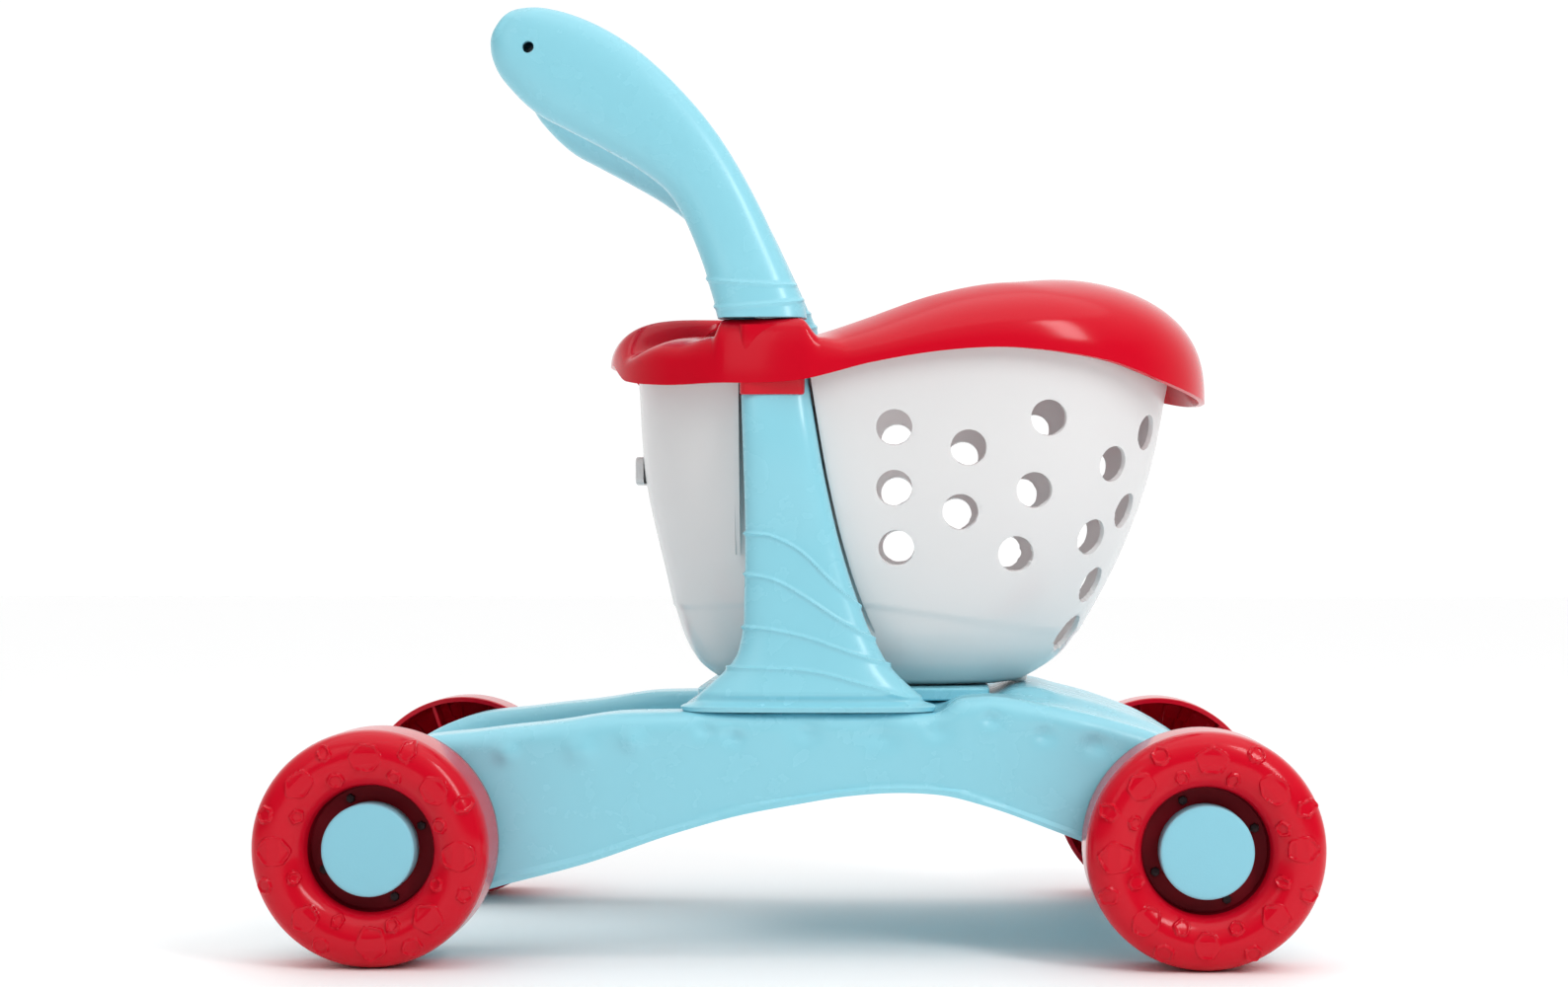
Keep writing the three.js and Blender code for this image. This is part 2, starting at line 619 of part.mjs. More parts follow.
for (const [name, side] of SIDES) {
  addMesh(`pillar_${name}`, toGeometry(pillar(side)), blue);
  addMesh(`handle_peg_${name}`, toGeometry(handlePeg(side)), steel);
  addMesh(`handle_outer_${name}`, toGeometry(armHalf(side, 1)), blue);
  addMesh(`handle_inner_${name}`, toGeometry(armHalf(side, -1)), blue);

  const gripScrew = addMesh(`grip_screw_${name}`, screwGeometry(SCREW_HEAD_R, SCREW_R, 26), steel);
  gripScrew.position.set(BAR_X, side * (72 + GAP), BAR_Z);
  gripScrew.rotation.x = side > 0 ? 0 : Math.PI;

  FOOT_SCREW_X.forEach((x, i) => {
    const screw = addMesh(`pillar_screw_${name}_${i + 1}`, screwGeometry(SCREW_HEAD_R, SCREW_R, 9), steel);
    screw.position.set(x, side * FOOT_SCREW_Y, PAD_Z - RAIL_WALL - 1 - GAP);
    screw.rotation.x = -Math.PI / 2;
  });
  BASKET_SCREW_X.forEach((x, i) => {
    const screw = addMesh(`basket_screw_${name}_${i + 1}`, screwGeometry(SCREW_HEAD_R, SCREW_R, 14), steel);
    screw.position.set(x, side * BASKET_SCREW_Y, BASKET_BOTTOM_Z + BASKET_WALL + GAP);
    screw.rotation.x = Math.PI / 2;
  });
  for (const [endName, end] of ENDS) addWheel(endName, end, name, side);
}

export default cart;
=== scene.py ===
"""Child's push-along shopping cart: fine moulded surfaces and finishes on the fixed frame.

Shapes are worked out in millimetres on numpy grids and written to meshes in metres.
+X is forward, +Y is the cart's left and +Z is up.
"""
import logging
import math
from dataclasses import dataclass
from enum import Enum
from typing import Optional, Sequence

import bpy
import numpy as np
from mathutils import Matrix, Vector


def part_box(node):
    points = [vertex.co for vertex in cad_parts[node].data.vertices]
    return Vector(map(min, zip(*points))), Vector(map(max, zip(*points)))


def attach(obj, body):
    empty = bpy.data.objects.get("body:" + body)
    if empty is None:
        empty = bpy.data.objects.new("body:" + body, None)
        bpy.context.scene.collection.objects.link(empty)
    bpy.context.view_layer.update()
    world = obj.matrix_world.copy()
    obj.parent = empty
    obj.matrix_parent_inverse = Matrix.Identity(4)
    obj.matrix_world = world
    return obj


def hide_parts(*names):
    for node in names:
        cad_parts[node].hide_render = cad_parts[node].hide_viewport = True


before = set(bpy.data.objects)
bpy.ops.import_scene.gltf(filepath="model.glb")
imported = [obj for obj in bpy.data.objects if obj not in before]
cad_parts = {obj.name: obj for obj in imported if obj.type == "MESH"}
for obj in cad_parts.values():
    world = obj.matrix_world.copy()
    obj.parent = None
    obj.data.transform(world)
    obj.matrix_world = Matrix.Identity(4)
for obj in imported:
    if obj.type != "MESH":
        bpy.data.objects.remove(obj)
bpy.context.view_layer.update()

log = logging.getLogger("cart")
MM = 0.001
SHARP = math.radians(32)
Pairs = Sequence[tuple[float, float]]


# ------------------------------------------------------------------ shape helpers

def curve(x: np.ndarray, pairs: Pairs) -> np.ndarray:
    """Smooth curve through (x, value) pairs.

    Between two pairs it is the cubic Hermite h00*a + h10*m0 + h01*b + h11*m1, whose slopes m are
    the finite differences of the neighbours, and it is level with its end values outside them.

    Args:
        x: where to read the curve, any shape.
        pairs: the points, in rising x.

    Returns:
        The values, in the shape of x.
    """
    px, py = np.array(pairs, float).T
    slope = np.gradient(py, px)
    x = np.clip(x, px[0], px[-1])
    k = np.clip(np.searchsorted(px, x, side="right") - 1, 0, len(px) - 2)
    step = px[k + 1] - px[k]
    t = (x - px[k]) / step
    return ((2 * t**3 - 3 * t**2 + 1) * py[k] + (t**3 - 2 * t**2 + t) * step * slope[k]
            + (3 * t**2 - 2 * t**3) * py[k + 1] + (t**3 - t**2) * step * slope[k + 1])


def path(points: Sequence[tuple[float, ...]], count: int) -> np.ndarray:
    """Points evenly spaced along a smooth path through a few points, each coordinate a curve of
    the straight-line length so far.

    Args:
        points: the path's points.
        count: how many to return.

    Returns:
        An array of count rows.
    """
    p = np.array(points, float)
    run = np.r_[0, np.cumsum(np.linalg.norm(np.diff(p, axis=0), axis=1))]
    t = np.linspace(0, run[-1], count)
    return np.stack([curve(t, list(zip(run, column))) for column in p.T], -1)


def polyline(points: Sequence[tuple[float, float]], step: float) -> np.ndarray:
    """A closed straight-sided outline cut into steps no longer than step, corners kept.

    Args:
        points: the corners.
        step: the longest step.

    Returns:
        The cut outline, without the first point again at the end.
    """
    p = np.array(points, float)
    parts = []
    for a, b in zip(p, np.roll(p, -1, axis=0)):
        n = max(1, int(np.ceil(np.linalg.norm(b - a) / step)))
        parts.append(a + (b - a) * (np.arange(n) / n)[:, None])
    return np.concatenate(parts)


def smooth_step(x: np.ndarray, low: float, high: float) -> np.ndarray:
    """0 below low, 1 above high, and 3t^2 - 2t^3 between."""
    t = np.clip((x - low) / (high - low), 0, 1)
    return t * t * (3 - 2 * t)


def window(x: np.ndarray, low: float, high: float, soft: float) -> np.ndarray:
    """1 between low and high and 0 outside, with edges soft wide."""
    return smooth_step(x, low - soft, low) * (1 - smooth_step(x, high, high + soft))


def oval(t: np.ndarray, half_x, half_y, power: float) -> tuple[np.ndarray, np.ndarray]:
    """Superellipse |x/a|^n + |y/b|^n = 1 at angle t: x = a sign(cos t)|cos t|^(2/n), y alike."""
    c, s = np.cos(t), np.sin(t)
    return (half_x * np.sign(c) * np.abs(c) ** (2 / power), half_y * np.sign(s) * np.abs(s) ** (2 / power))


def even_turns(start, end, count: int, power: float) -> np.ndarray:
    """Angles whose points on a superellipse are evenly spaced along it.

    Args:
        start: the first angle, or one for each row.
        end: the last angle, or one for each row.
        count: how many angles.
        power: the superellipse's power.

    Returns:
        The angles, in a last axis of that count.
    """
    fine = np.linspace(0, 2 * np.pi, 6001)
    x, y = oval(fine, 1.0, 1.0, power)
    run = np.r_[0, np.cumsum(np.hypot(np.diff(x), np.diff(y)))]
    a, b = (np.interp(v, fine, run)[..., None] for v in (start, end))
    return np.interp(a + (b - a) * np.linspace(0, 1, count), run, fine)


def grid_faces(rows: int, columns: int, wrap_rows: bool = False, wrap_columns: bool = False) -> np.ndarray:
    """Quads over a grid of points numbered row by row.

    Args:
        rows: the number of rows.
        columns: the number of columns.
        wrap_rows: the last row joins the first.
        wrap_columns: the last column joins the first.

    Returns:
        One row of four point numbers for each quad.
    """
    r = np.arange(rows if wrap_rows else rows - 1)
    c = np.arange(columns if wrap_columns else columns - 1)
    r, c = (a.ravel() for a in np.meshgrid(r, c, indexing="ij"))
    r2, c2 = (r + 1) % rows, (c + 1) % columns
    return np.stack([r * columns + c, r * columns + c2, r2 * columns + c2, r2 * columns + c], -1)


def normals_of(points: np.ndarray, wrap_columns: bool = False) -> np.ndarray:
    """Unit normals of a grid of points, the cross product of its two directions."""
    along = np.gradient(points, axis=0)
    if wrap_columns:
        across = (np.roll(points, -1, axis=1) - np.roll(points, 1, axis=1)) / 2
    else:
        across = np.gradient(points, axis=1)
    n = np.cross(across, along)
    return n / np.maximum(np.linalg.norm(n, axis=-1, keepdims=True), 1e-9)


@dataclass
class Sheet:
    """Points in millimetres and quads over them, which grows as surfaces are added."""

    points: np.ndarray
    faces: np.ndarray

    @classmethod
    def empty(cls) -> "Sheet":
        """A sheet with nothing in it."""
        return cls(np.zeros((0, 3)), np.zeros((0, 4), int))

    @classmethod
    def of(cls, grid: np.ndarray, wrap_rows: bool = False, wrap_columns: bool = False,
           flip: bool = False) -> "Sheet":
        """A sheet from a grid of points.

        Args:
            grid: points in rows and columns.
            wrap_rows: the last row joins the first.
            wrap_columns: the last column joins the first.
            flip: turn the faces over.

        Returns:
            The sheet.
        """
        faces = grid_faces(grid.shape[0], grid.shape[1], wrap_rows, wrap_columns)
        return cls(grid.reshape(-1, 3), faces[:, ::-1] if flip else faces)

    def add(self, other: "Sheet") -> "Sheet":
        """Both sheets as one."""
        return Sheet(np.concatenate([self.points, other.points]),
                     np.concatenate([self.faces, other.faces + len(self.points)]))

    def mirrored(self) -> "Sheet":
        """The sheet on the other side of the cart's middle, faces still outwards."""
        return Sheet(self.points * [1, -1, 1], self.faces[:, ::-1])

    def pierced(self, holes: Sequence[tuple[np.ndarray, np.ndarray]], radius: float) -> "Sheet":
        """Round holes through the sheet.

        A face whose middle lies in a hole's circle goes, and the points left round it move along
        the surface to the circle: p' = c + d R / |d|, with d the part of p - c square to the axis.

        Args:
            holes: each hole's centre and unit axis.
            radius: the holes' radius.

        Returns:
            The pierced sheet.
        """
        points, faces = self.points.copy(), self.faces
        for centre, axis in holes:
            middle = points[faces].mean(1)
            near = np.linalg.norm(middle - centre, axis=1) < radius * 2.2
            offset = middle - centre
            flat = offset - (offset @ axis)[:, None] * axis
            gone = near & (np.linalg.norm(flat, axis=1) < radius)
            edge = np.intersect1d(faces[gone].ravel(), faces[~gone].ravel())
            offset = points[edge] - centre
            height = (offset @ axis)[:, None] * axis
            flat = offset - height
            reach = np.linalg.norm(flat, axis=1, keepdims=True)
            points[edge] = centre + height + flat * (radius / np.maximum(reach, 1e-6))
            faces = faces[~gone]
        return Sheet(points, faces)


def ring_stack(levels: Sequence[tuple[float, float]], half: Sequence[float], power: float, count: int,
               middle: Sequence[float] = (0, 0), axes: tuple[int, int, int] = (0, 1, 2),
               **faces: bool) -> Sheet:
    """Superellipse rings stacked one on another, for slabs, plugs and sleeves.

    Args:
        levels: each ring's place along the stack and how far it is inset.
        half: half sizes of a ring that isn't inset.
        power: the superellipse's power.
        count: points round a ring, with the first again at the end.
        middle: the rings' middle.
        axes: which of x, y and z the ring's two directions and the stack run along.
        **faces: wrap_rows and flip, as Sheet.of takes them.

    Returns:
        The sheet.
    """
    t = even_turns(0, 2 * np.pi, count, power)[:-1]
    grid = np.empty((len(levels), len(t), 3))
    for row, (place, inset) in zip(grid, levels):
        across, up = oval(t, half[0] - inset, half[1] - inset, power)
        row[:, axes[0]], row[:, axes[1]], row[:, axes[2]] = middle[0] + across, middle[1] + up, place
    return Sheet.of(grid, wrap_columns=True, **faces)


# ------------------------------------------------------------------ finishes

class Texture(Enum):
    """How fine the grain of a moulded surface is."""

    POLISHED = 0.012
    SATIN = 0.05
    MATT = 0.12


@dataclass(frozen=True)
class Plastic:
    """A moulded plastic: body colour with faint flow marks, a grain and slight sink waviness."""

    name: str
    slot: str
    colour: tuple[float, float, float]
    flow: tuple[float, float, float]
    roughness: float
    texture: Texture
    subsurface: float = 0.0
    waviness: float = 0.03
    metallic: float = 0.0
    gloss: float = 0.5

    def build(self) -> bpy.types.Material:
        """The material, made once and kept by name.

        Returns:
            The Blender material.
        """
        found = bpy.data.materials.get(self.name)
        if found:
            return found
        material = bpy.data.materials.new(self.name)
        material.use_nodes = True
        nodes, links = material.node_tree.nodes, material.node_tree.links
        shader = nodes["Principled BSDF"]
        place = nodes.new("ShaderNodeTexCoord").outputs["Object"]
        clouds = self._noise(nodes, links, place, scale=14, detail=4)
        colours = nodes.new("ShaderNodeMix")
        colours.data_type = "RGBA"
        colours.inputs["A"].default_value = (*self.colour, 1)
        colours.inputs["B"].default_value = (*self.flow, 1)
        links.new(clouds, colours.inputs["Factor"])
        links.new(colours.outputs["Result"], shader.inputs["Base Color"])
        rough = nodes.new("ShaderNodeMapRange")
        rough.inputs["To Min"].default_value = self.roughness * 0.8
        rough.inputs["To Max"].default_value = self.roughness * 1.25
        links.new(self._noise(nodes, links, place, scale=60, detail=6), rough.inputs["Value"])
        links.new(rough.outputs["Result"], shader.inputs["Roughness"])
        wave = self._bump(nodes, self.waviness, 0.004)
        links.new(self._noise(nodes, links, place, scale=28, detail=1), wave.inputs["Height"])
        grain = self._bump(nodes, self.texture.value, 0.0006)
        links.new(self._noise(nodes, links, place, scale=1400, detail=2), grain.inputs["Height"])
        links.new(wave.outputs["Normal"], grain.inputs["Normal"])
        links.new(grain.outputs["Normal"], shader.inputs["Normal"])
        shader.inputs["Metallic"].default_value = self.metallic
        shader.inputs["Specular IOR Level"].default_value = self.gloss
        shader.inputs["Subsurface Weight"].default_value = self.subsurface
        shader.inputs["Subsurface Radius"].default_value = (0.004, 0.004, 0.004)
        shader.inputs["Subsurface Scale"].default_value = 1.0
        return material

    @staticmethod
    def _noise(nodes, links, place, scale: float, detail: float):
        """The factor output of a noise texture on the piece's own coordinates."""
        noise = nodes.new("ShaderNodeTexNoise")
        noise.inputs["Scale"].default_value = scale
        noise.inputs["Detail"].default_value = detail
        links.new(place, noise.inputs["Vector"])
        return noise.outputs["Fac"]

    @staticmethod
    def _bump(nodes, strength: float, distance: float):
        """A bump node of that strength, with its height in metres."""
        bump = nodes.new("ShaderNodeBump")
        bump.inputs["Strength"].default_value = strength
        bump.inputs["Distance"].default_value = distance
        return bump


BLUE = Plastic("light_blue_plastic", "blue_plastic", (0.272, 0.655, 0.772), (0.282, 0.665, 0.782), 0.26,
               Texture.SATIN, subsurface=0.03, gloss=0.45)
CAP_BLUE = Plastic("hub_cap_plastic", "blue_plastic", (0.262, 0.61, 0.73), (0.272, 0.62, 0.74), 0.45,
                   Texture.MATT, gloss=0.25)
RED = Plastic("glossy_red_plastic", "red_plastic", (0.60, 0.002, 0.015), (0.63, 0.003, 0.018), 0.16,
              Texture.POLISHED, gloss=0.22)
# Near-black red for the hub core, and painted shade for the recess round the hub cap: its darkness stands
# in for the shade deep in the recess.
CORE_AND_RECESS_SHADE_RED = Plastic("hub_core_and_painted_recess_shade", "dark_red_plastic", (0.15, 0.001, 0.006), (0.18, 0.002, 0.008), 0.5,
                   Texture.SATIN, gloss=0.12)
WHITE = Plastic("pearl_white_plastic", "white_plastic", (0.74, 0.74, 0.74), (0.76, 0.76, 0.76), 0.22,
                Texture.POLISHED, subsurface=0.05, waviness=0.02)
STEEL = Plastic("plated_steel", "steel", (0.50, 0.51, 0.53), (0.58, 0.59, 0.61), 0.32,
                Texture.SATIN, metallic=1.0)
# Near-black steel for the wheel screws: painted shade, as the screws sit in the shaded recess round the
# hub cap.
RECESS_SHADE_STEEL = Plastic("screw_steel_painted_recess_shade", "steel", (0.020, 0.010, 0.012), (0.030, 0.016, 0.018), 0.5,
                     Texture.SATIN, metallic=0.6)


# ------------------------------------------------------------------ pieces

@dataclass
class Walls:
    """What finishes a surface into a moulding: wall thickness inwards and rounded edges, in mm."""

    thickness: float = 0.0
    rounding: float = 0.0


def make_piece(name: str, sheet: Sheet, finish: Plastic, body: str, replaces: Sequence[str] = (),
               walls: Optional[Walls] = None) -> bpy.types.Object:
    """Writes a sheet to a mesh, thickens and dresses it, and fixes it to a body of the frame.

    Args:
        name: the piece's name.
        sheet: its surface, in millimetres.
        finish: its plastic.
        body: the body that it moves with.
        replaces: the frame's nodes that it stands for.
        walls: its wall and edge rounding, if it isn't a closed solid already.

    Returns:
        The new object.
    """
    mesh = bpy.data.meshes.new(name)
    mesh.vertices.add(len(sheet.points))
    mesh.vertices.foreach_set("co", (sheet.points * MM).astype(np.float32).ravel())
    mesh.loops.add(sheet.faces.size)
    mesh.loops.foreach_set("vertex_index", sheet.faces.astype(np.int32).ravel())
    mesh.polygons.add(len(sheet.faces))
    mesh.polygons.foreach_set("loop_start", np.arange(len(sheet.faces), dtype=np.int32) * 4)
    mesh.update(calc_edges=True)
    mesh.validate()
    piece = bpy.data.objects.new(name, mesh)
    bpy.context.scene.collection.objects.link(piece)
    weld = piece.modifiers.new("weld", "WELD")
    weld.merge_threshold = 0.00004
    if walls and walls.thickness:
        solid = piece.modifiers.new("wall", "SOLIDIFY")
        solid.thickness = walls.thickness * MM
        solid.offset = -1
        solid.use_quality_normals = True
    if walls and walls.rounding:
        bevel = piece.modifiers.new("edge", "BEVEL")
        bevel.width = walls.rounding * MM
        bevel.segments = 2
        bevel.limit_method = "ANGLE"
        bevel.angle_limit = math.radians(50)
    settle(piece)
    piece.data.materials.append(finish.build())
    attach(piece, body)
    if replaces:
        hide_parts(*replaces)
    log.info("%s: %d faces on %s", name, len(piece.data.polygons), body)
    return piece


def settle(piece: bpy.types.Object) -> None:
    """Applies the piece's modifiers and shades it smooth between its sharp edges."""
    shown = piece.evaluated_get(bpy.context.evaluated_depsgraph_get())
    piece.data = bpy.data.meshes.new_from_object(shown)
    piece.modifiers.clear()
    piece.data.shade_smooth()
    piece.data.set_sharp_from_angle(angle=SHARP)


def dress_node(name: str, finish: Plastic) -> None:
    """Gives a node of the frame its plastic or metal."""
    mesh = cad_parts[name].data
    mesh.materials.clear()
    mesh.materials.append(finish.build())


def lathe(profile: np.ndarray, turns: int, centre: np.ndarray, outward: float) -> Sheet:
    """A profile of (radius, distance along the axle) carried round an axle along Y.

    The point at angle t is centre + (r cos t, outward w, r sin t).

    Args:
        profile: the outline, closed on itself.
        turns: steps round the axle.
        centre: where the axle meets w = 0.
        outward: +1 on the cart's left and -1 on its right.

    Returns:
        The closed sheet.
    """
    t = np.linspace(0, 2 * np.pi, turns, endpoint=False)[:, None]
    r, w = profile.T
    grid = np.stack([r * np.cos(t), np.broadcast_to(outward * w, (turns, len(r))), r * np.sin(t)], -1)
    return Sheet.of(grid + centre, wrap_rows=True, wrap_columns=True, flip=outward > 0)


# ------------------------------------------------------------------ wheels

@dataclass
class Wheel:
    """A red wheel with embossed cobbles, its hub cap and what holds it on."""

    tag: str
    outward: float
    seed: int
    turns: int = 720
    large_radius: float = 44.5
    outer_radius: float = 51.3
    inner_radius: float = 37.6
    emboss: float = 0.65
    edge_width: float = 0.6
    outline: float = 0.8
    cobbles_round: int = 8
    rib_count: int = 6

    @property
    def centre(self) -> np.ndarray:
        """The middle of the wheel's inner face, from the frame, in millimetres."""
        low, high = (np.array(v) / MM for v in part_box(f"wheel_shell_{self.tag}"))
        middle = (low + high) / 2
        middle[1] = low[1] if self.outward > 0 else high[1]
        return middle

    def profile(self) -> np.ndarray:
        """The shell's section: tread, rounded face, recess, and the open back with its core seat."""
        face = path([(57.5, 27), (57.3, 31.5), (56.3, 35.4), (54.2, 38.4), (51, 40.6), (47.6, 41.7),
                     (44, 42), (40.4, 41.4), (37, 39.9), (34, 37.6), (31.9, 34.8), (30.9, 31.4)], 74)
        tread = polyline([(54.8, 0.2), (57.1, 0.2), (57.5, 0.9), (57.5, 26)], 5)[:-1]
        back = polyline([(30, 24), (8.2, 24), (8.2, 21), (28.9, 21), (28.9, 8), (31, 8), (33, 35.5),
                         (45, 39.2), (52.5, 35.5), (54.6, 30), (54.8, 0.2)], 9)
        cut = len(polyline([(54.6, 30), (54.8, 0.2)], 9)) // 2
        return np.concatenate([tread[:6], [[57.5, 14]], face, back[:-cut]])

    def cobbles(self, x: np.ndarray, z: np.ndarray) -> np.ndarray:
        """Height of the embossed cobbles at a place on the wheel's face.

        Each cobble is a rounded polygon, d = (sum over its sides of max(0, p.n)^9)^(1/9), raised
        where d is under its size, with a soft edge.

        Args:
            x: distance forward of the axle.
            z: distance above the axle.

        Returns:
            Heights in millimetres.
        """
        draw = np.random.default_rng(self.seed)
        height = np.zeros_like(x)
        rings = ((self.large_radius, 6.9, 0.0), (self.outer_radius, 4.1, 0.5),
                 (self.inner_radius, 3.6, 0.5))
        for radius, size, shift in rings:
            for k in range(self.cobbles_round):
                turn = (k + shift + draw.uniform(-0.09, 0.09)) / self.cobbles_round * 2 * math.pi
                reach = radius + draw.uniform(-1.0, 1.0)
                sides = int(draw.integers(5, 7))
                spin = draw.uniform(0, 2 * math.pi)
                stretch = draw.uniform(0.88, 1.14)
                across = -x * math.sin(turn) + z * math.cos(turn)
                along = x * math.cos(turn) + z * math.sin(turn) - reach
                total = np.zeros_like(x)
                for j in range(sides):
                    a = spin + j * 2 * math.pi / sides
                    side = along * math.cos(a) * stretch + across * math.sin(a) / stretch
                    total += np.maximum(side, 0) ** 9
                inside = size * draw.uniform(0.86, 1.1) - total ** (1 / 9)
                raised = self.emboss * smooth_step(inside, 0, self.edge_width)
                raised += self.outline * window(inside, 0.4, 1.0, 0.5)
                height = np.maximum(height, raised)
        return height

    def shell(self) -> Sheet:
        """The tyre and face in one skin, raised by the cobbles along the profile's normal."""
        profile = self.profile()
        ahead = np.roll(profile, -1, axis=0) - np.roll(profile, 1, axis=0)
        normal = np.stack([-ahead[:, 1], ahead[:, 0]], -1)
        normal /= np.linalg.norm(normal, axis=1, keepdims=True)
        normal *= -1
        t = np.linspace(0, 2 * np.pi, self.turns, endpoint=False)[:, None]
        r, w = profile.T
        x, z = r * np.cos(t), r * np.sin(t)
        on_face = ((r > 32.5) & (r < 57.3) & (w > 33))[None]
        lift = self.cobbles(x, z) * on_face
        r2 = r + lift * normal[:, 0]
        w2 = np.minimum(w + lift * normal[:, 1], 42.4)
        grid = np.stack([r2 * np.cos(t), self.outward * w2, r2 * np.sin(t)], -1) + self.centre
        return Sheet.of(grid, wrap_rows=True, wrap_columns=True, flip=self.outward > 0)

    def ribs(self) -> Sheet:
        """Thin plates from the core seat to the tread on the open back."""
        out = Sheet.empty()
        for k in range(self.rib_count):
            a = k / self.rib_count * 2 * math.pi + 0.2
            ring = np.array([[29.6, 2.5], [54.9, 2.5], [54.9, 20], [29.6, 20]])
            along = np.array([math.cos(a), 0, -math.sin(a)])
            across = np.array([math.sin(a), 0, math.cos(a)])
            plate = ring[:, :1] * along + ring[:, 1:] * [0, self.outward, 0]
            sides = [plate + s * across for s in (-0.9, 0.9)]
            grid = np.stack(sides) + self.centre
            out = out.add(Sheet.of(grid, wrap_columns=True, flip=self.outward > 0))
            p = len(out.points) - 8
            caps = np.array([[p, p + 1, p + 2, p + 3], [p + 7, p + 6, p + 5, p + 4]])
            out.faces = np.concatenate([out.faces, caps if self.outward > 0 else caps[:, ::-1]])
        return out

    def recess_shade_sheet(self) -> Sheet:
        """A dark sheet lining the recess round the hub cap: painted shade, standing in for the shade deep
        in the recess.
        """
        line = np.array([[31.6, 33.6], [30.95, 31.3], [29.85, 24.16], [8.3, 24.16], [8.3, 24.02],
                         [30.1, 23.9], [31.4, 31.3]])
        return lathe(line, 144, self.centre, self.outward)

    def cap(self) -> Sheet:
        """The flat hub cap, hollow behind, with a small round on its edge."""
        edge = path([(20.9, 38), (21.9, 37.7), (22.4, 37.1), (22.5, 36.4)], 7)
        front = polyline([(0.01, 38), (20.9, 38)], 3)[:8]
        back = np.array([[22.5, 24.5], [20.3, 24.5], [20.3, 35.6], [0.01, 35.6]])
        return lathe(np.concatenate([front, edge, back]), 144, self.centre, self.outward)

    def build(self) -> None:
        """Makes the wheel's pieces and finishes the frame's own ones."""
        body = f"wheel_{self.tag}"
        tyre = self.shell().add(self.ribs())
        make_piece(f"tyre_{self.tag}", tyre, RED, body, [f"wheel_shell_{self.tag}"])
        # Painted shade: a near-black sheet over the recess round the hub cap, where there is only shade.
        make_piece(f"recess_shade_{self.tag}", self.recess_shade_sheet(), CORE_AND_RECESS_SHADE_RED, body)
        make_piece(f"cap_{self.tag}", self.cap(), CAP_BLUE, body, [f"hub_cap_{self.tag}"])
        # The core shares the near-black red that also paints the shade in the recess.
        dress_node(f"wheel_core_{self.tag}", CORE_AND_RECESS_SHADE_RED)
        for part in ("axle_pin", "axle_washer"):
            dress_node(f"{part}_{self.tag}", STEEL)
        # The wheel screws get near-black steel, painted shade of the recess they sit in.
        for k in range(1, 5):
            dress_node(f"wheel_screw_{self.tag}_{k}", RECESS_SHADE_STEEL)


# ------------------------------------------------------------------ base

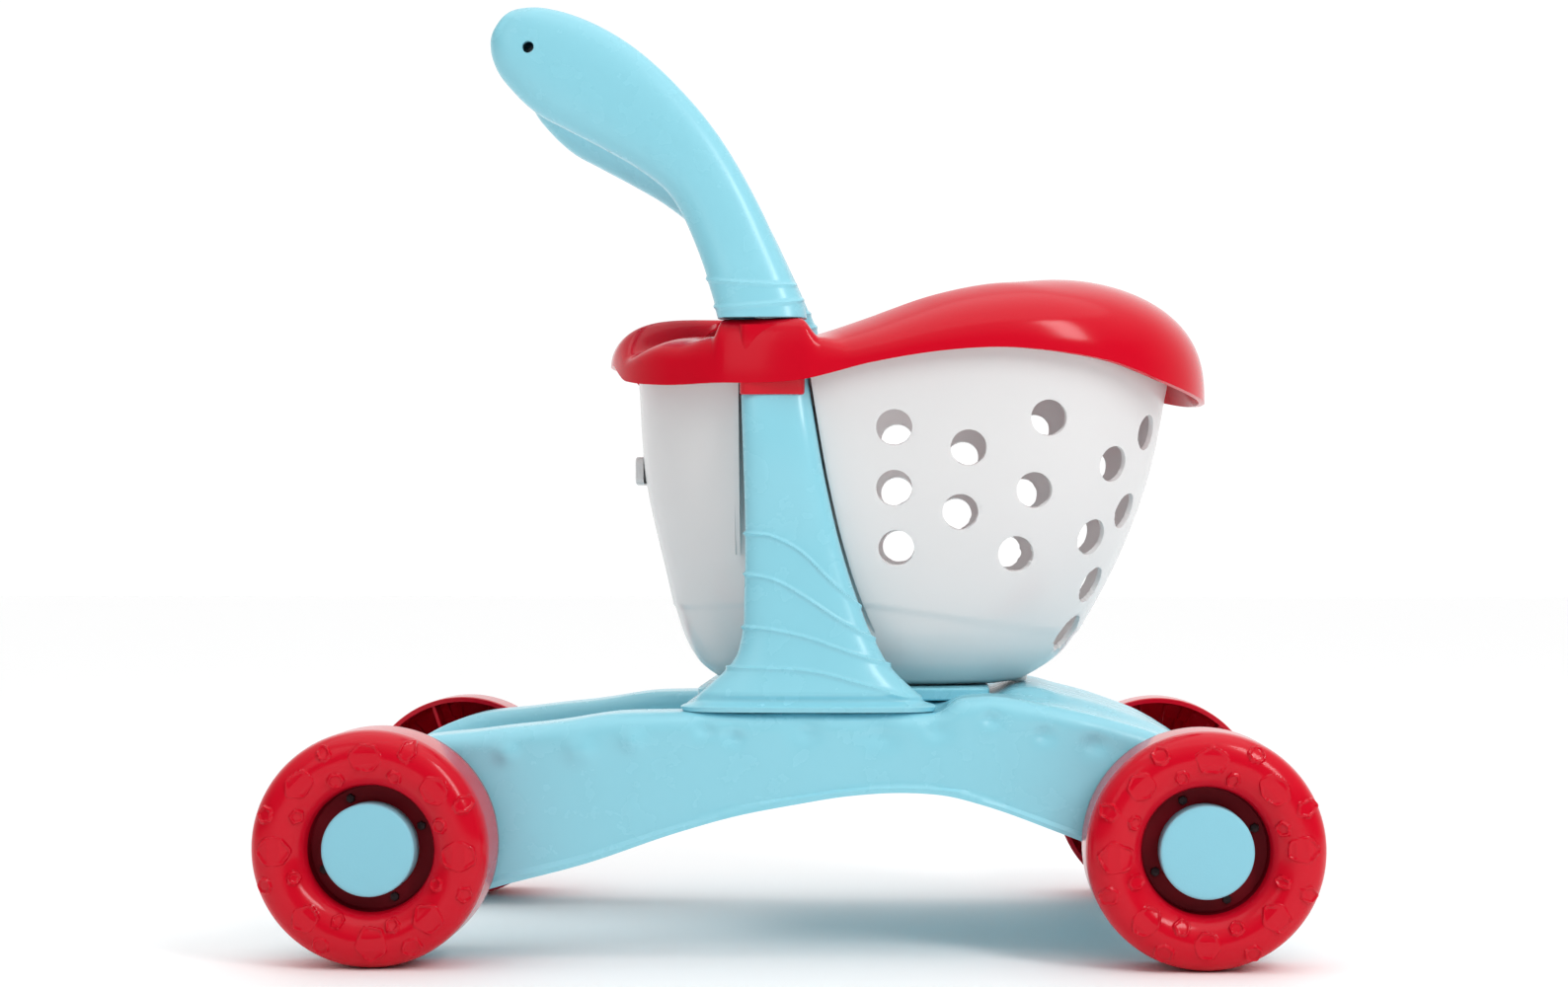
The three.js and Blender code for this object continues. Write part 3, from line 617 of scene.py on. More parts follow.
@dataclass
class Base:
    """The light-blue base: two side rails, the front hood, and the deck under the basket."""

    inner_y: float = 73.0
    outer_y: float = 115.0
    round_radius: float = 9.0
    bead: float = 1.7
    bead_height: float = 4.0
    wall: float = 3.0
    split_x: float = -52.0
    bump_height: float = 2.5
    wave_height: float = 0.35
    bumps: tuple[tuple[float, float, float], ...] = (
        (-206, 84, 6), (-178, 96, 6), (-140, 101, 5), (-104, 102.5, 7), (-78, 107, 5.5), (-42, 113, 4.5),
        (-28, 109.5, 4.5), (8, 112, 6), (44, 111, 8), (72, 113, 6), (99, 118.5, 4.5), (125, 110.5, 4.5),
        (150, 106, 6), (180, 97, 6))
    rail_top: Pairs = (
        (-52, 121), (-66, 121), (-82, 120.5), (-112, 116.8), (-150, 112), (-187, 107), (-210, 98.5),
        (-230, 84), (-238, 66), (-240, 50), (-239.6, 38), (-239, 30))
    rail_front: Pairs = (
        (-52, 121), (-20, 121), (20, 121), (60, 121), (74, 121.6), (82, 127.5), (93, 129), (124, 125.6),
        (153, 118.7), (185, 109), (206, 98), (224, 81), (231, 64), (232.6, 52), (232, 45))
    hood: Pairs = (
        (-52, 124.4), (-20, 124.4), (20, 124.4), (60, 124.4), (92, 124.4), (104, 127), (111, 130.3),
        (120, 131.4), (140, 126.6), (165, 119.2), (185, 111.4), (200, 101), (208, 84), (210, 68),
        (210, 54), (209, 46))
    under: Pairs = ((-240, 28), (-226, 25), (-200, 20.5), (-172, 27), (-145, 35), (-100, 47), (-56, 62),
                    (-28, 70), (2, 76), (30, 80.5), (58, 82), (78, 80.4), (95, 76), (134, 62), (165, 50),
                    (200, 39), (226, 42), (233, 44))

    def columns(self, walls_in: bool) -> tuple[np.ndarray, ...]:
        """Across one rail, from its inner edge to its outer lower edge.

        Args:
            walls_in: whether the inner side has a wall down to the lower edge.

        Returns:
            For each column its y, how far it drops in the corner's round, and its share of the way
            down the wall, negative on the inner wall.
        """
        turn = np.linspace(0, np.pi / 2, 9)
        r = self.round_radius
        flat = np.linspace(self.inner_y + r, self.outer_y - r, 13)[1:-1]
        down = np.linspace(0, 1, 26)[1:]
        y = np.concatenate([flat, self.outer_y - r + r * np.sin(turn), np.full(25, self.outer_y)])
        drop = np.concatenate([np.zeros(11), r - r * np.cos(turn), np.full(25, r)])
        share = np.concatenate([np.zeros(20), down])
        if walls_in:
            y_in = np.concatenate([np.full(25, self.inner_y), self.inner_y + r - r * np.sin(turn[::-1])])
            drop_in = np.concatenate([np.full(25, r), r - r * np.cos(turn[::-1])])
            share_in = np.concatenate([-down[::-1], np.zeros(9)])
            y, drop, share = (np.concatenate(p) for p in ((y_in, y), (drop_in, drop), (share_in, share)))
        return y, drop, share

    def section(self, line: np.ndarray, y: np.ndarray, drop: np.ndarray, share: np.ndarray) -> np.ndarray:
        """Carries the columns along a top line.

        A point starts on the line, moves back along the line's normal by its drop, and then sinks
        towards the lower edge by its share, with the bead swelling the last few millimetres.

        Args:
            line: x and z along the top, in rows, for one column or for each.
            y: each column's place across.
            drop: each column's drop.
            share: each column's share of the way down.

        Returns:
            The grid of points.
        """
        if line.ndim == 2:
            line = np.repeat(line[:, None], len(y), axis=1)
        ahead = np.gradient(line, axis=0)
        ahead /= np.linalg.norm(ahead, axis=-1, keepdims=True)
        sign = np.sign(line[-1, 0, 0] - line[0, 0, 0])
        back = np.stack([ahead[..., 1], -ahead[..., 0]], -1) * sign
        spot = line + back * drop[None, :, None]
        x, z = spot[..., 0], spot[..., 1]
        low = curve(x, self.under)
        part = np.abs(share)[None]
        z = z * (1 - part) + np.minimum(low, z) * part
        swell = self.bead * smooth_step(low - z, -self.bead_height, -self.bead_height + 1.2) * (share > 0)
        wavy = self.wave_height * np.sin(x / 11.0) * np.cos(x / 27.0 + 1)
        top = (share == 0) * (drop < 1)
        return np.stack([x, y[None] + np.sign(y)[None] * swell, z + wavy * top], -1)

    def pebbles(self, grid: np.ndarray) -> np.ndarray:
        """Soft pebble bumps on the shoulder: height h exp(-(|p - c| / w)^2) along the normal."""
        n = normals_of(grid)
        lift = np.zeros(grid.shape[:2])
        for x, z, width in self.bumps:
            far = np.linalg.norm((grid - [x, self.outer_y - 1, z]) * [1, 0.7, 1.3], axis=-1)
            lift = np.maximum(lift, self.bump_height * np.exp(-(far / width) ** 2))
        lift *= smooth_step(np.abs(grid[..., 0] - self.split_x), 1, 5)
        out = grid + n * lift[..., None]
        out[..., 1] = np.minimum(out[..., 1], self.outer_y + 2)
        return out

    def rear_rail(self) -> Sheet:
        """The left rail behind the deck, closed round its rear end."""
        y, drop, share = self.columns(walls_in=True)
        grid = self.section(path(self.rail_top, 128), y, drop, share)
        return Sheet.of(self.pebbles(grid), flip=False)

    def front(self) -> Sheet:
        """The left half of the front: rail, blend and hood, out to the middle."""
        y, drop, share = self.columns(walls_in=False)
        hood_y = np.linspace(0, self.inner_y + self.round_radius, 40)[:-1]
        y = np.concatenate([hood_y, y])
        drop, share = (np.concatenate([np.zeros(39), a]) for a in (drop, share))
        rail, hood = path(self.rail_front, 165), path(self.hood, 165)
        mix = smooth_step(y, self.inner_y - 12, self.inner_y + 8)[None, :, None]
        line = hood[:, None] * (1 - mix) + rail[:, None] * mix
        return Sheet.of(self.pebbles(self.section(line, y, drop, share)), flip=True)

    def bosses(self) -> Sheet:
        """Round bosses that carry the axle pins, through each rail end."""
        out = Sheet.empty()
        for tag in ("front_left", "rear_left"):
            low, high = (np.array(v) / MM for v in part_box(f"wheel_shell_{tag}"))
            middle = (low + high) / 2
            middle[1] = 0
            ring = np.array([[10.0, 75.5], [10.0, 116.2], [9.2, 117.0], [3.4, 117.0], [3.4, 75.5]])
            out = out.add(lathe(ring, 64, middle, 1.0))
        return out

    def cross_wall(self) -> Sheet:
        """The upright wall that closes the front box behind the deck, rail to rail."""
        t = even_turns(0, 2 * np.pi, 161, 16)[:-1]
        y, z = oval(t, 74, 13.6, 16)
        rows = [np.stack([np.full_like(y, x), y * k, 109.8 + z * k], -1)
                for x, k in ((-51, 0.02), (-51, 0.98), (-51.5, 1), (-54.5, 1), (-55, 0.98), (-55, 0.02))]
        return Sheet.of(np.stack(rows), wrap_columns=True, flip=True)

    def deck(self) -> Sheet:
        """The thin deck plate, a rounded slab with softened edges."""
        low, high = (np.array(v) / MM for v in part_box("centre_deck"))
        mid, half = (low + high) / 2, (high - low) / 2
        levels = ((low[2], 60), (low[2], 1), (low[2] + 0.7, 0), (high[2] - 0.9, 0), (high[2], 1.1),
                  (high[2], 60))
        return ring_stack(levels, half, 14, 161, mid)

    def build(self) -> None:
        """Makes the base moulding and the deck."""
        half = self.rear_rail().add(self.front())
        skin = half.add(half.mirrored())
        shell = make_piece("base_moulding", skin, BLUE, "frame", ["base_shell"], Walls(self.wall))
        bosses = self.bosses()
        make_piece("axle_bosses", bosses.add(bosses.mirrored()), BLUE, "frame")
        make_piece("cross_wall", self.cross_wall(), BLUE, "frame")
        make_piece("deck_plate", self.deck(), BLUE, "frame", ["centre_deck"])
        log.info("%s spans %s", shell.name, tuple(round(v, 3) for v in shell.dimensions))


# ------------------------------------------------------------------ pillars

@dataclass
class Pillar:
    """A flared post with wavy raised ridges, on the base's pad."""

    name: str
    side: float
    rear: Pairs = (
        (121.3, -54), (124.2, -54), (125, -51), (128, -46.5), (134, -39.5), (141, -32), (148, -27),
        (156, -24.6), (178, -23.2), (200, -23), (229, -23.5), (274, -25), (300, -26))
    front: Pairs = (
        (121.3, 71), (124.2, 71), (125, 68), (128, 64), (134, 57), (141, 50), (156, 41), (178, 32),
        (200, 25), (229, 18), (274, 10), (300, 6))
    inner: Pairs = ((121.3, 76), (125, 76.8), (141, 78), (156, 79), (300, 79))
    outer: Pairs = (
        (121.3, 115), (124.2, 115), (125, 113), (131, 111), (141, 108.5), (156, 106), (178, 104),
        (200, 103), (282, 101), (287, 99), (292, 96), (300, 96))
    ridges: tuple[Pairs, ...] = (
        ((-24, 209.5), (-10, 208), (5, 200), (20, 185), (35, 172)),
        ((-24, 189.5), (-8, 186), (8, 177), (24, 166), (42, 156)),
        ((-28, 163), (-10, 161.5), (8, 157.5), (28, 150.5), (50, 143)),
        ((-34, 142), (-12, 142.4), (12, 140.6), (32, 135.5), (58, 127.5)))
    ridge_height: float = 1.4
    ridge_width: float = 0.9
    band_height: float = 0.25

    def grid(self) -> np.ndarray:
        """Rounded-box rings up the post, pushed out where a ridge passes.

        A ridge adds h exp(-(d/w)^2) along the normal, with d the height above the ridge's line, and
        the band under each line stands a little prouder than the one above.
        """
        z = np.concatenate([[121.3, 123.6, 124.2], np.linspace(124.6, 300, 420)])[:, None]
        power = 3.4
        t = even_turns(0, 2 * np.pi, 201, power)[None, :-1]
        x0, x1 = curve(z, self.rear), curve(z, self.front)
        y0, y1 = curve(z, self.inner), curve(z, self.outer)
        x, y = oval(t, (x1 - x0) / 2, (y1 - y0) / 2, power)
        x = x + (x0 + x1) / 2
        y = (y + (y0 + y1) / 2) * self.side
        grid = np.stack([x, y, np.broadcast_to(z, x.shape)], -1)
        n = normals_of(grid, wrap_columns=True)
        middle = np.stack([(x0 + x1) / 2, (y0 + y1) / 2 * self.side, z], -1)
        n *= np.sign(((grid - middle) * n * [1, 1, 0]).sum(-1, keepdims=True))
        lift = np.zeros(x.shape)
        outside = smooth_step(np.abs(y), 88, 96)
        for line in self.ridges:
            far = z - curve(x, line)
            ridge = self.ridge_height * np.exp(-(far / self.ridge_width) ** 2)
            lift += ridge + self.band_height * smooth_step(-far, 0, 2)
        return grid + n * (lift * outside * smooth_step(grid[..., 2], 126, 130))[..., None]

    def build(self) -> None:
        """Makes the post, open at its foot and capped at its top."""
        grid = self.grid()
        top, foot = grid[-1:].mean(1, keepdims=True), grid[:1].mean(1, keepdims=True)
        rings = [foot + (grid[:1] - foot) * 0.02, grid, top + (grid[-1:] - top) * 0.45]
        sheet = Sheet.of(np.concatenate(rings), wrap_columns=True, flip=self.side < 0)
        make_piece(f"post_{self.name}", sheet, BLUE, "frame", [f"pillar_{self.name}"])


# ------------------------------------------------------------------ basket and rim

RIM_UNDER: Pairs = (
    (-90, 288), (-80, 285.5), (-69, 284.2), (-40, 284), (5, 285), (40, 293.5), (78, 299.5), (105, 301),
    (133, 299), (162, 294), (187, 285.5), (213, 277))


@dataclass
class Basket:
    """The off-white tub with a channel for each pillar and staggered round holes."""

    power: float = 2.7
    wall: float = 2.5
    hole_radius: float = 9.0
    groove_y: float = 75.0
    groove_rear: float = -26.8
    edge_rise: float = 6.6
    rear: Pairs = (
        (131.4, -33), (133, -40), (136, -46), (140, -51.5), (147, -57), (156, -61.5), (165, -64.5),
        (190, -70.5), (236, -80.5), (284, -84), (320, -85.5))
    front: Pairs = (
        (131.4, 108), (133, 116), (136, 123), (140, 130), (147, 139), (156, 146), (165, 151.5),
        (190, 165), (236, 183), (284, 193), (320, 199))
    half: Pairs = (
        (131.4, 48), (133, 54), (136, 59), (140, 64), (147, 69.5), (156, 74), (165, 77), (190, 83),
        (236, 92), (284, 98), (320, 101))
    groove_front: Pairs = (
        (131.4, 62), (134, 60), (141, 52), (148, 47), (156, 42.8), (178, 33.5), (200, 26.5), (229, 19.5),
        (274, 11.5), (300, 7.6), (320, 5))
    crease: Pairs = ((-64, 172), (30, 174.5), (80, 168), (130, 160), (170, 157))
    crease_depth: float = 0.8
    front_n: int = 112
    wall_n: int = 6
    floor_n: int = 18
    rear_n: int = 46
    side_holes: Pairs = (
        (51, 262), (51, 232), (52, 202), (88, 252), (84, 220), (128, 267), (121, 231), (112, 199))
    front_holes: Pairs = (
        (31.5, 244.5), (31.5, 207.5), (21.5, 158), (21.5, 261), (22, 221), (23.5, 183), (0, 244),
        (0, 206), (0, 168))

    def size_at(self, z) -> tuple:
        """Middle, half length and half width of the tub at a height."""
        z = np.asarray(z, float)
        x0, x1 = curve(z, self.rear), curve(z, self.front)
        return (x0 + x1) / 2, (x1 - x0) / 2, curve(z, self.half)

    def outline(self, z: np.ndarray) -> np.ndarray:
        """The tub's outline at each height, with a fixed number of points in each stretch.

        Front arc, channel wall, channel floor, channel wall, rear arc, and the same again on the
        other side. The arcs are superellipses, cut where x meets the channel's edges, and the
        channel's floor is at the channel's y or on the arc, whichever is nearer the middle.

        Args:
            z: heights, one for each row and column.

        Returns:
            The grid of points.
        """
        rows = z.shape[0]
        mid, long, wide = self.size_at(z)

        def meet(edge, k: int) -> np.ndarray:
            """The angle at which column k's arc reaches x = edge, in each row."""
            ratio = (edge - mid[:, k]) / long[:, k]
            return np.arccos(np.clip(np.sign(ratio) * np.abs(ratio) ** (self.power / 2), -1, 1))

        edge_front = curve(z[:, self.front_n], self.groove_front)
        out = np.zeros((rows, self.total, 2))
        a, b = self.front_n, self.front_n + self.wall_n
        c, d = b + self.floor_n, b + self.floor_n + self.wall_n
        t_front, t_rear = meet(edge_front, a), meet(self.groove_rear, d)
        turns = even_turns(np.zeros(rows), t_front, a, self.power)
        x, y = oval(turns, long[:, :a], wide[:, :a], self.power)
        out[:, :a] = np.stack([x + mid[:, :a], y], -1)
        turns = even_turns(t_rear, np.full(rows, np.pi), self.total - d, self.power)
        x, y = oval(turns, long[:, d:], wide[:, d:], self.power)
        out[:, d:] = np.stack([x + mid[:, d:], y], -1)
        corner_f, corner_r = out[:, a - 1], out[:, d]
        floor_f = np.stack([edge_front, np.minimum(self.groove_y, corner_f[:, 1])], -1)
        rear_y = np.minimum(self.groove_y, corner_r[:, 1])
        floor_r = np.stack([np.full(rows, self.groove_rear), rear_y], -1)
        stretches = ((a, self.wall_n, corner_f, floor_f), (b, self.floor_n, floor_f, floor_r),
                     (c, self.wall_n, floor_r, corner_r))
        for start, count, p, q in stretches:
            s = (np.arange(1, count + 1) / (count + 1))[None, :, None]
            out[:, start:start + count] = p[:, None] * (1 - s) + q[:, None] * s
        floor = out[:, b:c]
        x_in = np.abs((floor[..., 0] - mid[:, b:c]) / long[:, b:c])
        arc = wide[:, b:c] * (1 - np.clip(x_in, 0, 1) ** self.power) ** (1 / self.power)
        out[:, b:c, 1] = np.minimum(self.groove_y, arc)
        return out

    @property
    def total(self) -> int:
        """Points in half an outline."""
        return self.front_n + 2 * self.wall_n + self.floor_n + self.rear_n

    def surface(self) -> Sheet:
        """The tub's outer skin, from the middle of its floor up to the edge under the rim."""
        floor_z, corner_z = 131.4, 165.0
        low = floor_z + (corner_z - floor_z) * np.linspace(0, 1, 28) ** 1.9
        first = self.outline(np.full((1, self.total), 300.0))
        top = curve(first[0, :, 0], RIM_UNDER) + self.edge_rise
        share = np.linspace(0, 1, 90)[1:, None]
        upper = corner_z * (1 - share) + top[None] * share
        z = np.concatenate([np.repeat(low[:, None], self.total, 1), upper])
        flat = self.outline(z)
        tuck = self.crease_depth * smooth_step(curve(flat[..., 0], self.crease) - z, 0, 2.2)
        tuck *= smooth_step(z, floor_z, floor_z + 8)
        middle = np.array([39.0, 0])
        inward = middle - flat
        flat = flat + inward / np.linalg.norm(inward, axis=-1, keepdims=True) * tuck[..., None]
        grid = np.concatenate([flat, z[..., None]], -1)
        hub = np.array([39.0, 0, floor_z])
        disc = hub + (grid[:1] - hub) * np.linspace(0.001, 0.97, 7)[:, None, None]
        grid = np.concatenate([disc, grid])
        half = Sheet.of(grid, flip=False)
        return half.add(half.mirrored())

    def holes(self) -> list[tuple[np.ndarray, np.ndarray]]:
        """Centre and axis of each hole: along Y on the sides, square to the wall round the front."""
        out = []
        for side in (1, -1):
            for x, z in self.side_holes:
                mid, long, wide = self.size_at(z)
                y = wide * (1 - abs((x - mid) / long) ** self.power) ** (1 / self.power)
                out.append((np.array([x, side * y, z]), np.array([0.0, side, 0.0])))
        for degrees, z in self.front_holes:
            for side in ((1, -1) if degrees else (1,)):
                mid, long, wide = self.size_at(z)
                a = math.radians(degrees)
                c, s = math.cos(a), math.sin(a)
                reach = ((c / long) ** self.power + (s / wide) ** self.power) ** (-1 / self.power)
                x, y = c * reach, s * reach
                slope = self.power - 1
                n = np.array([x**slope / long**self.power, side * y**slope / wide**self.power, 0])
                out.append((np.array([mid + x, side * y, z]), n / np.linalg.norm(n)))
        return out

    def foot(self) -> Sheet:
        """The small rounded foot under the front, which rests on the base's crest."""
        levels = ((141, 9), (141, 0), (132.6, 0), (131.8, 0.8), (131.8, 9))
        return ring_stack(levels, (9.5, 15), 6, 81, (111, 0), flip=True)

    def build(self) -> None:
        """Makes the tub, its front foot and the small plug on its rear wall."""
        skin = self.surface().pierced(self.holes(), self.hole_radius)
        make_piece("tub", skin, WHITE, "frame", ["basket_tub"], Walls(self.wall, 0.45))
        make_piece("tub_foot", self.foot(), WHITE, "frame")
        low, high = (np.array(v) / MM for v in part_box("rear_plug"))
        mid, half = (low + high) / 2, (high - low) / 2
        levels = ((high[0], 1), (high[0], 0), (low[0] + 0.8, 0), (low[0] + 0.2, 0.5), (low[0], 1.4),
                  (low[0], 7.4))
        plug = ring_stack(levels, half[1:], 6, 65, mid[1:], axes=(1, 2, 0), flip=True)
        make_piece("plug", plug, WHITE, "frame", ["rear_plug"])


@dataclass
class Rim:
    """The red rim: rear lobes, raised rear lip, a collar round each pillar and a front visor."""

    wall: float = 3.0
    columns: int = 900
    collar_top: float = 316.0
    flap_reach: float = 27.0
    flap_lift: float = 14.0
    valley_depth: float = 3.0
    lobe_lift: float = 3.2
    swell: float = 3.5
    crown: Pairs = (
        (-96, 306), (-70, 306.8), (-40, 306.3), (4, 307), (18, 310.5), (38, 316.5), (54, 322),
        (71, 327.5), (92, 332.5), (110, 335.5), (127, 337), (150, 339.5), (170, 341), (213, 341))

    def section(self, t: np.ndarray) -> np.ndarray:
        """The rim's closed section at each turn round the basket.

        From mouth to edge the outer line is p = mouth + (edge - mouth) sin(u)^1.15 and
        z = low + (crown - low) cos(u)^k, with k smaller beside the pillars, which fills the band out.
        The rear flap reaches further in and rises as sqrt(1 - share^4). The band round each pillar
        rises as sqrt(1 - share^14), which is nearly square, and is raised into a flat collar. The
        inner line is the same, a wall's thickness in.

        Args:
            t: turns, as a column.

        Returns:
            Rows of section points.
        """
        ex, ey = oval(t, 156, 108, 2.6)
        mx, my = oval(t, 106, 74.5, 2.8)
        ex, mx = ex + 57, mx + 38
        behind = smooth_step(-np.cos(t), 0.3, 0.6)
        flap = behind * smooth_step(-np.abs(my), -42, -27)
        valley = behind * np.exp(-((np.abs(my) - 41) / 5) ** 2)
        lobe = smooth_step(np.abs(my), 44, 56) * (1 - smooth_step(ex, -60, -20))
        mx = mx + self.flap_reach * flap
        low = curve(ex, RIM_UNDER) + self.flap_lift * 0.6 * flap
        top = curve(mx + (ex - mx) * 0.25, self.crown) + self.flap_lift * flap - self.valley_depth * valley
        top = top + self.lobe_lift * lobe
        near = np.abs(ey) > 60
        spot = mx * 0.4 + ex * 0.6
        block = smooth_step(spot, -37, -32.5) * (1 - smooth_step(spot, 4, 13)) * near
        full = smooth_step(spot, -52, -34) * (1 - smooth_step(spot, 3, 26)) * near
        bulge = window(spot, -200, 3, 30) * (1 - flap)
        ey = ey + np.sign(ey) * self.swell * window(spot, -30, 2, 24) * near
        u = np.linspace(0, np.pi / 2, 44)[None]
        share = np.sin(u) ** 1.15
        rise = np.cos(u) ** (0.75 - 0.38 * bulge)
        rise = rise * (1 - flap) + np.sqrt(np.clip(1 - share**4, 0, 1)) * flap
        rise = rise * (1 - full) + np.sqrt(np.clip(1 - share**14, 0, 1)) * full
        outer_z = low + (top + (self.collar_top - top) * block - low) * rise
        inner_z = outer_z - self.wall * rise
        length = np.hypot(ex - mx, ey - my)
        outer_p, inner_p = share + 0 * t, share * (length - self.wall) / length
        p = np.concatenate([outer_p, inner_p[:, ::-1]], 1)
        z = np.concatenate([outer_z, inner_z[:, ::-1]], 1)
        return np.stack([mx + (ex - mx) * p, my + (ey - my) * p, z], -1)

    def sleeve(self) -> Sheet:
        """The collar's lower sleeve round the left pillar, open top and bottom."""
        levels = ((312.5, 0.0), (278.9, 0.0), (278.2, 0.3), (278.0, 0.9), (278.0, 2.0), (312.5, 2.0))
        return ring_stack(levels, (16.2, 13.3), 7, 121, (-9.4, 90.3), wrap_rows=True, flip=True)

    def build(self) -> None:
        """Makes the rim and its sleeves as one moulding."""
        t = even_turns(0, 2 * np.pi, self.columns + 1, 2.7)[:-1, None]
        ring = Sheet.of(self.section(t), wrap_rows=True, wrap_columns=True, flip=False)
        sleeve = self.sleeve()
        make_piece("rim", ring.add(sleeve).add(sleeve.mirrored()), RED, "frame", ["basket_rim"])


# ------------------------------------------------------------------ handle

@dataclass
class HandleArm:
    """One curved arm of the push handle, as an outer and an inner half shell."""

    name: str
    side: float
    wall: float = 2.4
    seam: float = 0.08
    screw_hole: float = 3.0
    rings: Pairs = ((336.5, 333.5), (322.5, 326.0))
    ring_height: float = 1.1
    ring_sag: float = 2.0
    tip_dome: float = 0.25
    upper: Pairs = (
        (6.9, 316.3), (5.6, 323), (1.0, 334.6), (-4.2, 346.6), (-9.8, 358.6), (-15.4, 370.7),
        (-21.6, 382.8), (-28.4, 394.9), (-36, 407), (-45, 419.2), (-55.6, 431.4), (-67.7, 443.6),
        (-82.6, 455.8), (-104.5, 468.1), (-118, 472.8), (-131, 474.7), (-141.5, 473), (-148.5, 467.5))
    lower: Pairs = (
        (-36.2, 316.3), (-38, 323), (-41.6, 334.7), (-45.7, 346.7), (-50, 357.5), (-54.5, 367.5),
        (-62.5, 380), (-77.8, 392.6), (-95.5, 403), (-114, 412.8), (-129, 421), (-141, 431.7),
        (-150, 443.5), (-152.8, 452), (-152.9, 457), (-151.5, 462.5))
    lean: Pairs = (
        (316, 90), (333, 88), (352, 84), (372, 81), (392, 78), (411, 75), (431, 72), (451, 69.5),
        (470, 67))
    depth: Pairs = (
        (0, 14), (0.15, 13.4), (0.5, 13), (0.75, 15), (0.86, 15.5), (0.94, 14.2), (0.98, 11), (1, 5))

    def grid(self, count: int = 320, around: int = 144) -> np.ndarray:
        """Rounded sections across the arm from its base to its tip, with two rings near the base.

        A section is a superellipse, middle + across h x(t) and y = lean + d y(t), with h and d the half
        width and half depth.

        The last rings close the tip, each a little further out.

        Args:
            count: sections along the arm.
            around: points round a section.

        Returns:
            The grid of points, t from 0 at the upper edge.
        """
        s = np.linspace(0, 1, count)
        top, bottom = path(self.upper, count), path(self.lower, count)
        middle, half = (top + bottom) / 2, (top - bottom) / 2
        cos, sin = oval(even_turns(0, 2 * np.pi, around + 1, 2.56)[:-1], 1.0, 1.0, 2.56)
        depth = curve(s, self.depth)[:, None]
        z = middle[:, 1:]
        x = middle[:, :1] + half[:, :1] * cos
        y = self.side * (curve(z, self.lean) + depth * sin)
        z = z + half[:, 1:] * cos
        grid = np.stack([x, y, z], -1)
        lean = self.side * curve(middle[:, 1], self.lean)
        centre = np.stack([middle[:, 0], lean, middle[:, 1]], -1)[:, None]
        out = grid - centre
        out /= np.linalg.norm(out, axis=-1, keepdims=True)
        lift = np.zeros(grid.shape[:2])
        for behind, ahead in self.rings:
            line = behind + (ahead - behind) * (cos + 1) / 2 - self.ring_sag * np.abs(sin)
            far = z - line
            lift += self.ring_height * (np.exp(-(far / 1.0) ** 2) + 0.3 * smooth_step(-far, 0, 2))
        grid = grid + out * lift[..., None]
        tip = centre[-1:]
        ends = [tip + (grid[-1:] - tip) * k + [-self.tip_dome * j, 0, 0]
                for j, k in enumerate((0.75, 0.4, 0.02), 1)]
        return np.concatenate([grid, *ends])

    def half(self, outward: bool) -> Sheet:
        """One half shell, between the two seams, drawn in a hair at each."""
        around = 144
        grid = self.grid(around=around)
        k = np.arange(0, around // 2 + 1) if outward else np.arange(around // 2, around + 1) % around
        part = grid[:, k].copy()
        shift = self.side * self.seam * (1 if outward else -1)
        part[:, [0, -1], 1] += shift
        return Sheet.of(part, flip=self.side < 0)

    def build(self) -> None:
        """Makes both halves, with the screw's recess in the outer one."""
        low, high = (np.array(v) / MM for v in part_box(f"grip_screw_{self.name}"))
        middle = (low + high) / 2
        middle[1] = self.side * 80
        outer = self.half(True).pierced([(middle, np.array([0.0, self.side, 0.0]))], self.screw_hole)
        walls = Walls(self.wall, 0.15)
        for part, sheet in (("outer", outer), ("inner", self.half(False))):
            node = f"handle_{part}_{self.name}"
            make_piece(f"arm_{part}_{self.name}", sheet, BLUE, "frame", [node], walls)


@dataclass
class Grip:
    """The crossbar between the arms."""

    swell: float = 0.5

    def build(self) -> None:
        """Makes the bar as a closed turned shape, slightly fuller in its middle."""
        low, high = (np.array(v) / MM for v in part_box("grip_bar"))
        middle = (low + high) / 2
        radius = (high[2] - low[2]) / 2
        w = np.linspace(-56, 56, 90)
        r = radius - self.swell * (w / 56) ** 2
        ends = [[0.01, 56], [0.01, -56]]
        profile = np.concatenate([np.stack([r, w], -1), ends])
        middle[1] = 0
        make_piece("crossbar", lathe(profile, 96, middle, 1.0), BLUE, "frame", ["grip_bar"])


# ------------------------------------------------------------------ stage

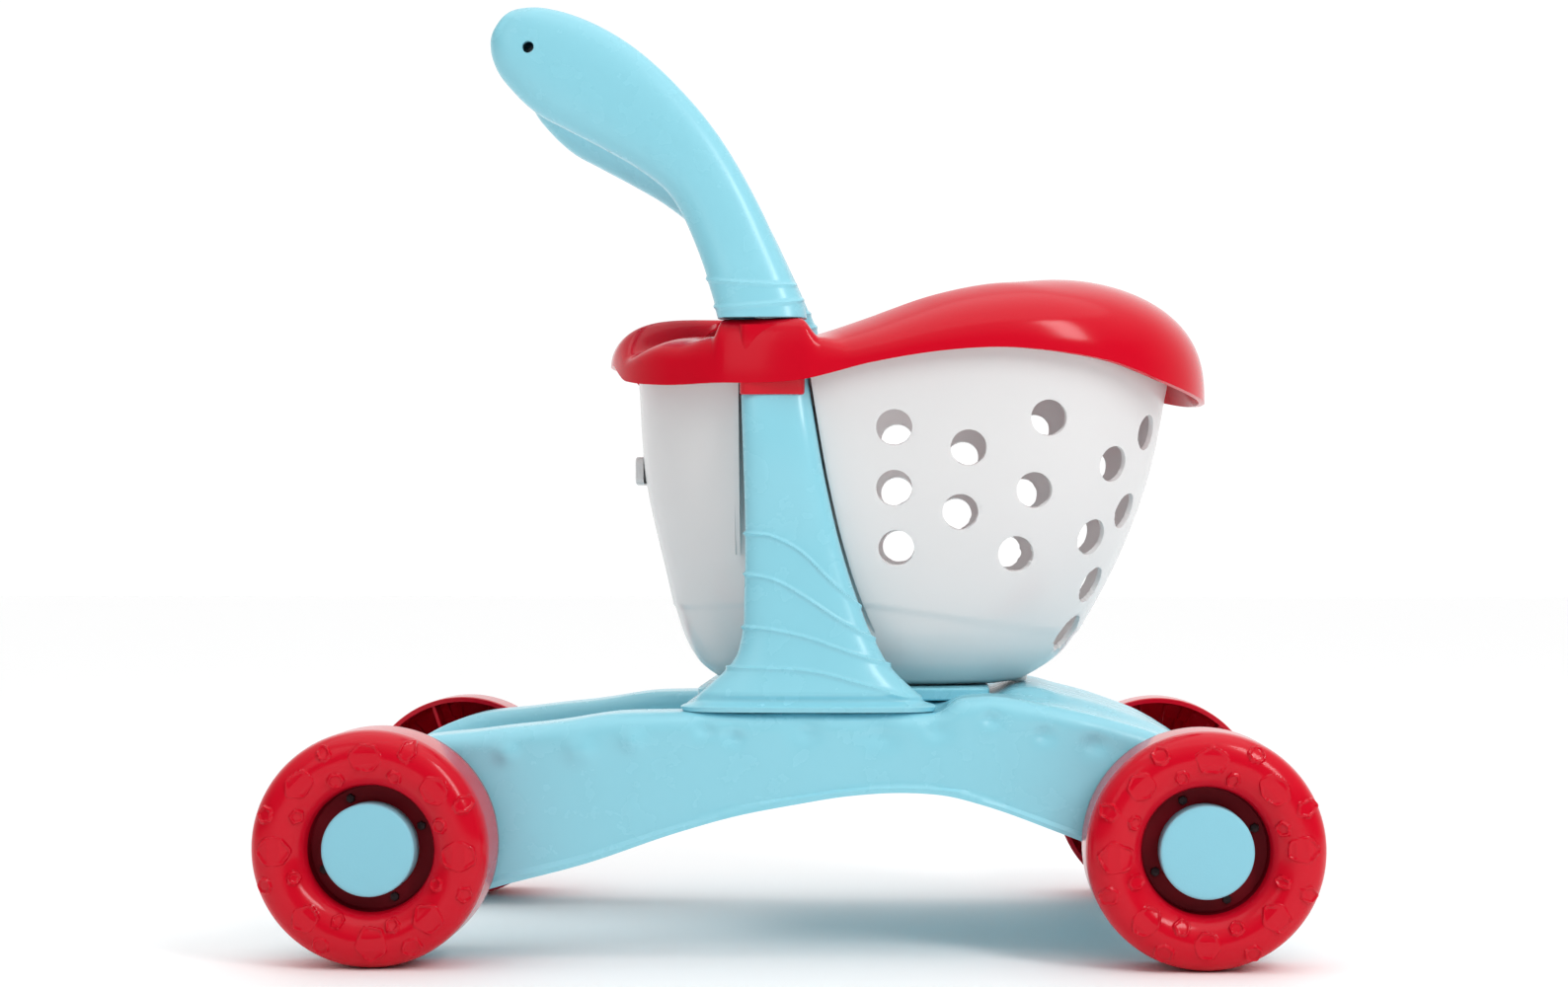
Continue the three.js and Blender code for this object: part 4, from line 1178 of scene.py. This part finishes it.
@dataclass
class Studio:
    """Pale floor, soft lights and the camera."""

    distance: float = 1.4538
    eye_x: float = 0.0637
    eye_z: float = 0.2078
    lens: float = 62.76
    pan: float = 0.0261
    tilt: float = -0.0291
    shift_x: float = -0.041
    shift_y: float = 0.0782

    def camera(self) -> None:
        """A camera at the cart's right side, turned a little back and down."""
        data = bpy.data.cameras.new("camera")
        data.lens = self.lens
        data.sensor_width = 36
        data.shift_x, data.shift_y = self.shift_x, self.shift_y
        data.clip_end = 50
        camera = bpy.data.objects.new("camera", data)
        camera.location = (self.eye_x, -self.distance, self.eye_z)
        camera.rotation_euler = (math.pi / 2 + self.tilt, 0, self.pan)
        bpy.context.scene.collection.objects.link(camera)
        bpy.context.scene.camera = camera

    def light(self, name: str, place: tuple[float, float, float], size: tuple[float, float],
              power: float) -> None:
        """An upright soft box aimed at the basket.

        Args:
            name: its name.
            place: where it stands.
            size: its width and height.
            power: watts.
        """
        data = bpy.data.lights.new(name, "AREA")
        data.shape = "RECTANGLE"
        data.size, data.size_y = size
        data.energy = power
        lamp = bpy.data.objects.new(name, data)
        lamp.location = place
        aim = Vector((0.05, 0, 0.25)) - Vector(place)
        lamp.rotation_euler = aim.to_track_quat("-Z", "Y").to_euler()
        bpy.context.scene.collection.objects.link(lamp)

    def overhead(self, strength: float) -> None:
        """A very wide light from straight above, which evens out the floor.

        Args:
            strength: watts for each square metre.
        """
        data = bpy.data.lights.new("overhead", "SUN")
        data.energy = strength
        data.angle = math.radians(70)
        lamp = bpy.data.objects.new("overhead", data)
        lamp.location = (0, 0, 3)
        bpy.context.scene.collection.objects.link(lamp)

    def floor(self) -> None:
        """A large pale floor."""
        mesh = bpy.data.meshes.new("floor")
        mesh.from_pydata([(-8, -8, 0), (8, -8, 0), (8, 8, 0), (-8, 8, 0)], [], [(0, 1, 2, 3)])
        floor = bpy.data.objects.new("floor", mesh)
        bpy.context.scene.collection.objects.link(floor)
        material = bpy.data.materials.new("floor")
        material.use_nodes = True
        shader = material.node_tree.nodes["Principled BSDF"]
        shader.inputs["Base Color"].default_value = (0.97, 0.97, 0.97, 1)
        shader.inputs["Roughness"].default_value = 0.6
        mesh.materials.append(material)

    def build(self) -> None:
        """Sets the camera, the lights, the pale world and the floor."""
        self.camera()
        self.floor()
        world = bpy.data.worlds.new("studio")
        bpy.context.scene.world = world
        world.use_nodes = True
        self.backdrop(world.node_tree)
        bpy.context.scene.view_settings.view_transform = "Standard"
        self.light("strip", (1.08, -1.3, 1.3), (0.34, 1.1), 15)
        self.light("fill", (-0.9, -1.4, 0.9), (0.5, 0.9), 1.5)
        self.overhead(0.7)

    @staticmethod
    def backdrop(tree: bpy.types.NodeTree) -> None:
        """A world that is white ahead of the camera and overhead, and dim behind the camera.

        Args:
            tree: the world's nodes.
        """
        nodes, links = tree.nodes, tree.links
        place = nodes.new("ShaderNodeTexCoord")
        split = nodes.new("ShaderNodeSeparateXYZ")
        links.new(place.outputs["Generated"], split.inputs["Vector"])
        most = nodes.new("ShaderNodeMath")
        most.operation = "MAXIMUM"
        for k, (axis, span) in enumerate((("Y", (-0.3, 0.7, 0.10, 1.05)), ("Z", (0.2, 0.9, 0.0, 1.0)))):
            glow = nodes.new("ShaderNodeMapRange")
            for limit, value in zip(("From Min", "From Max", "To Min", "To Max"), span):
                glow.inputs[limit].default_value = value
            links.new(split.outputs[axis], glow.inputs["Value"])
            links.new(glow.outputs["Result"], most.inputs[k])
        links.new(most.outputs["Value"], nodes["Background"].inputs["Strength"])
        nodes["Background"].inputs["Color"].default_value = (1, 1, 1, 1)


def main() -> None:
    """Builds the cart, piece by piece."""
    logging.basicConfig(level=logging.INFO, format="%(name)s: %(message)s")
    Studio().build()
    Base().build()
    for name, side in (("left", 1.0), ("right", -1.0)):
        Pillar(name, side).build()
        HandleArm(name, side).build()
        for k in (1, 2):
            dress_node(f"pillar_screw_{name}_{k}", STEEL)
            dress_node(f"basket_screw_{name}_{k}", STEEL)
        dress_node(f"grip_screw_{name}", STEEL)
        dress_node(f"handle_peg_{name}", STEEL)
    Basket().build()
    Rim().build()
    Grip().build()
    seeds = {"front_left": 3, "front_right": 5, "rear_left": 7, "rear_right": 11}
    for tag, seed in seeds.items():
        Wheel(tag, 1.0 if tag.endswith("left") else -1.0, seed).build()


if __name__ == "__main__":
    main()
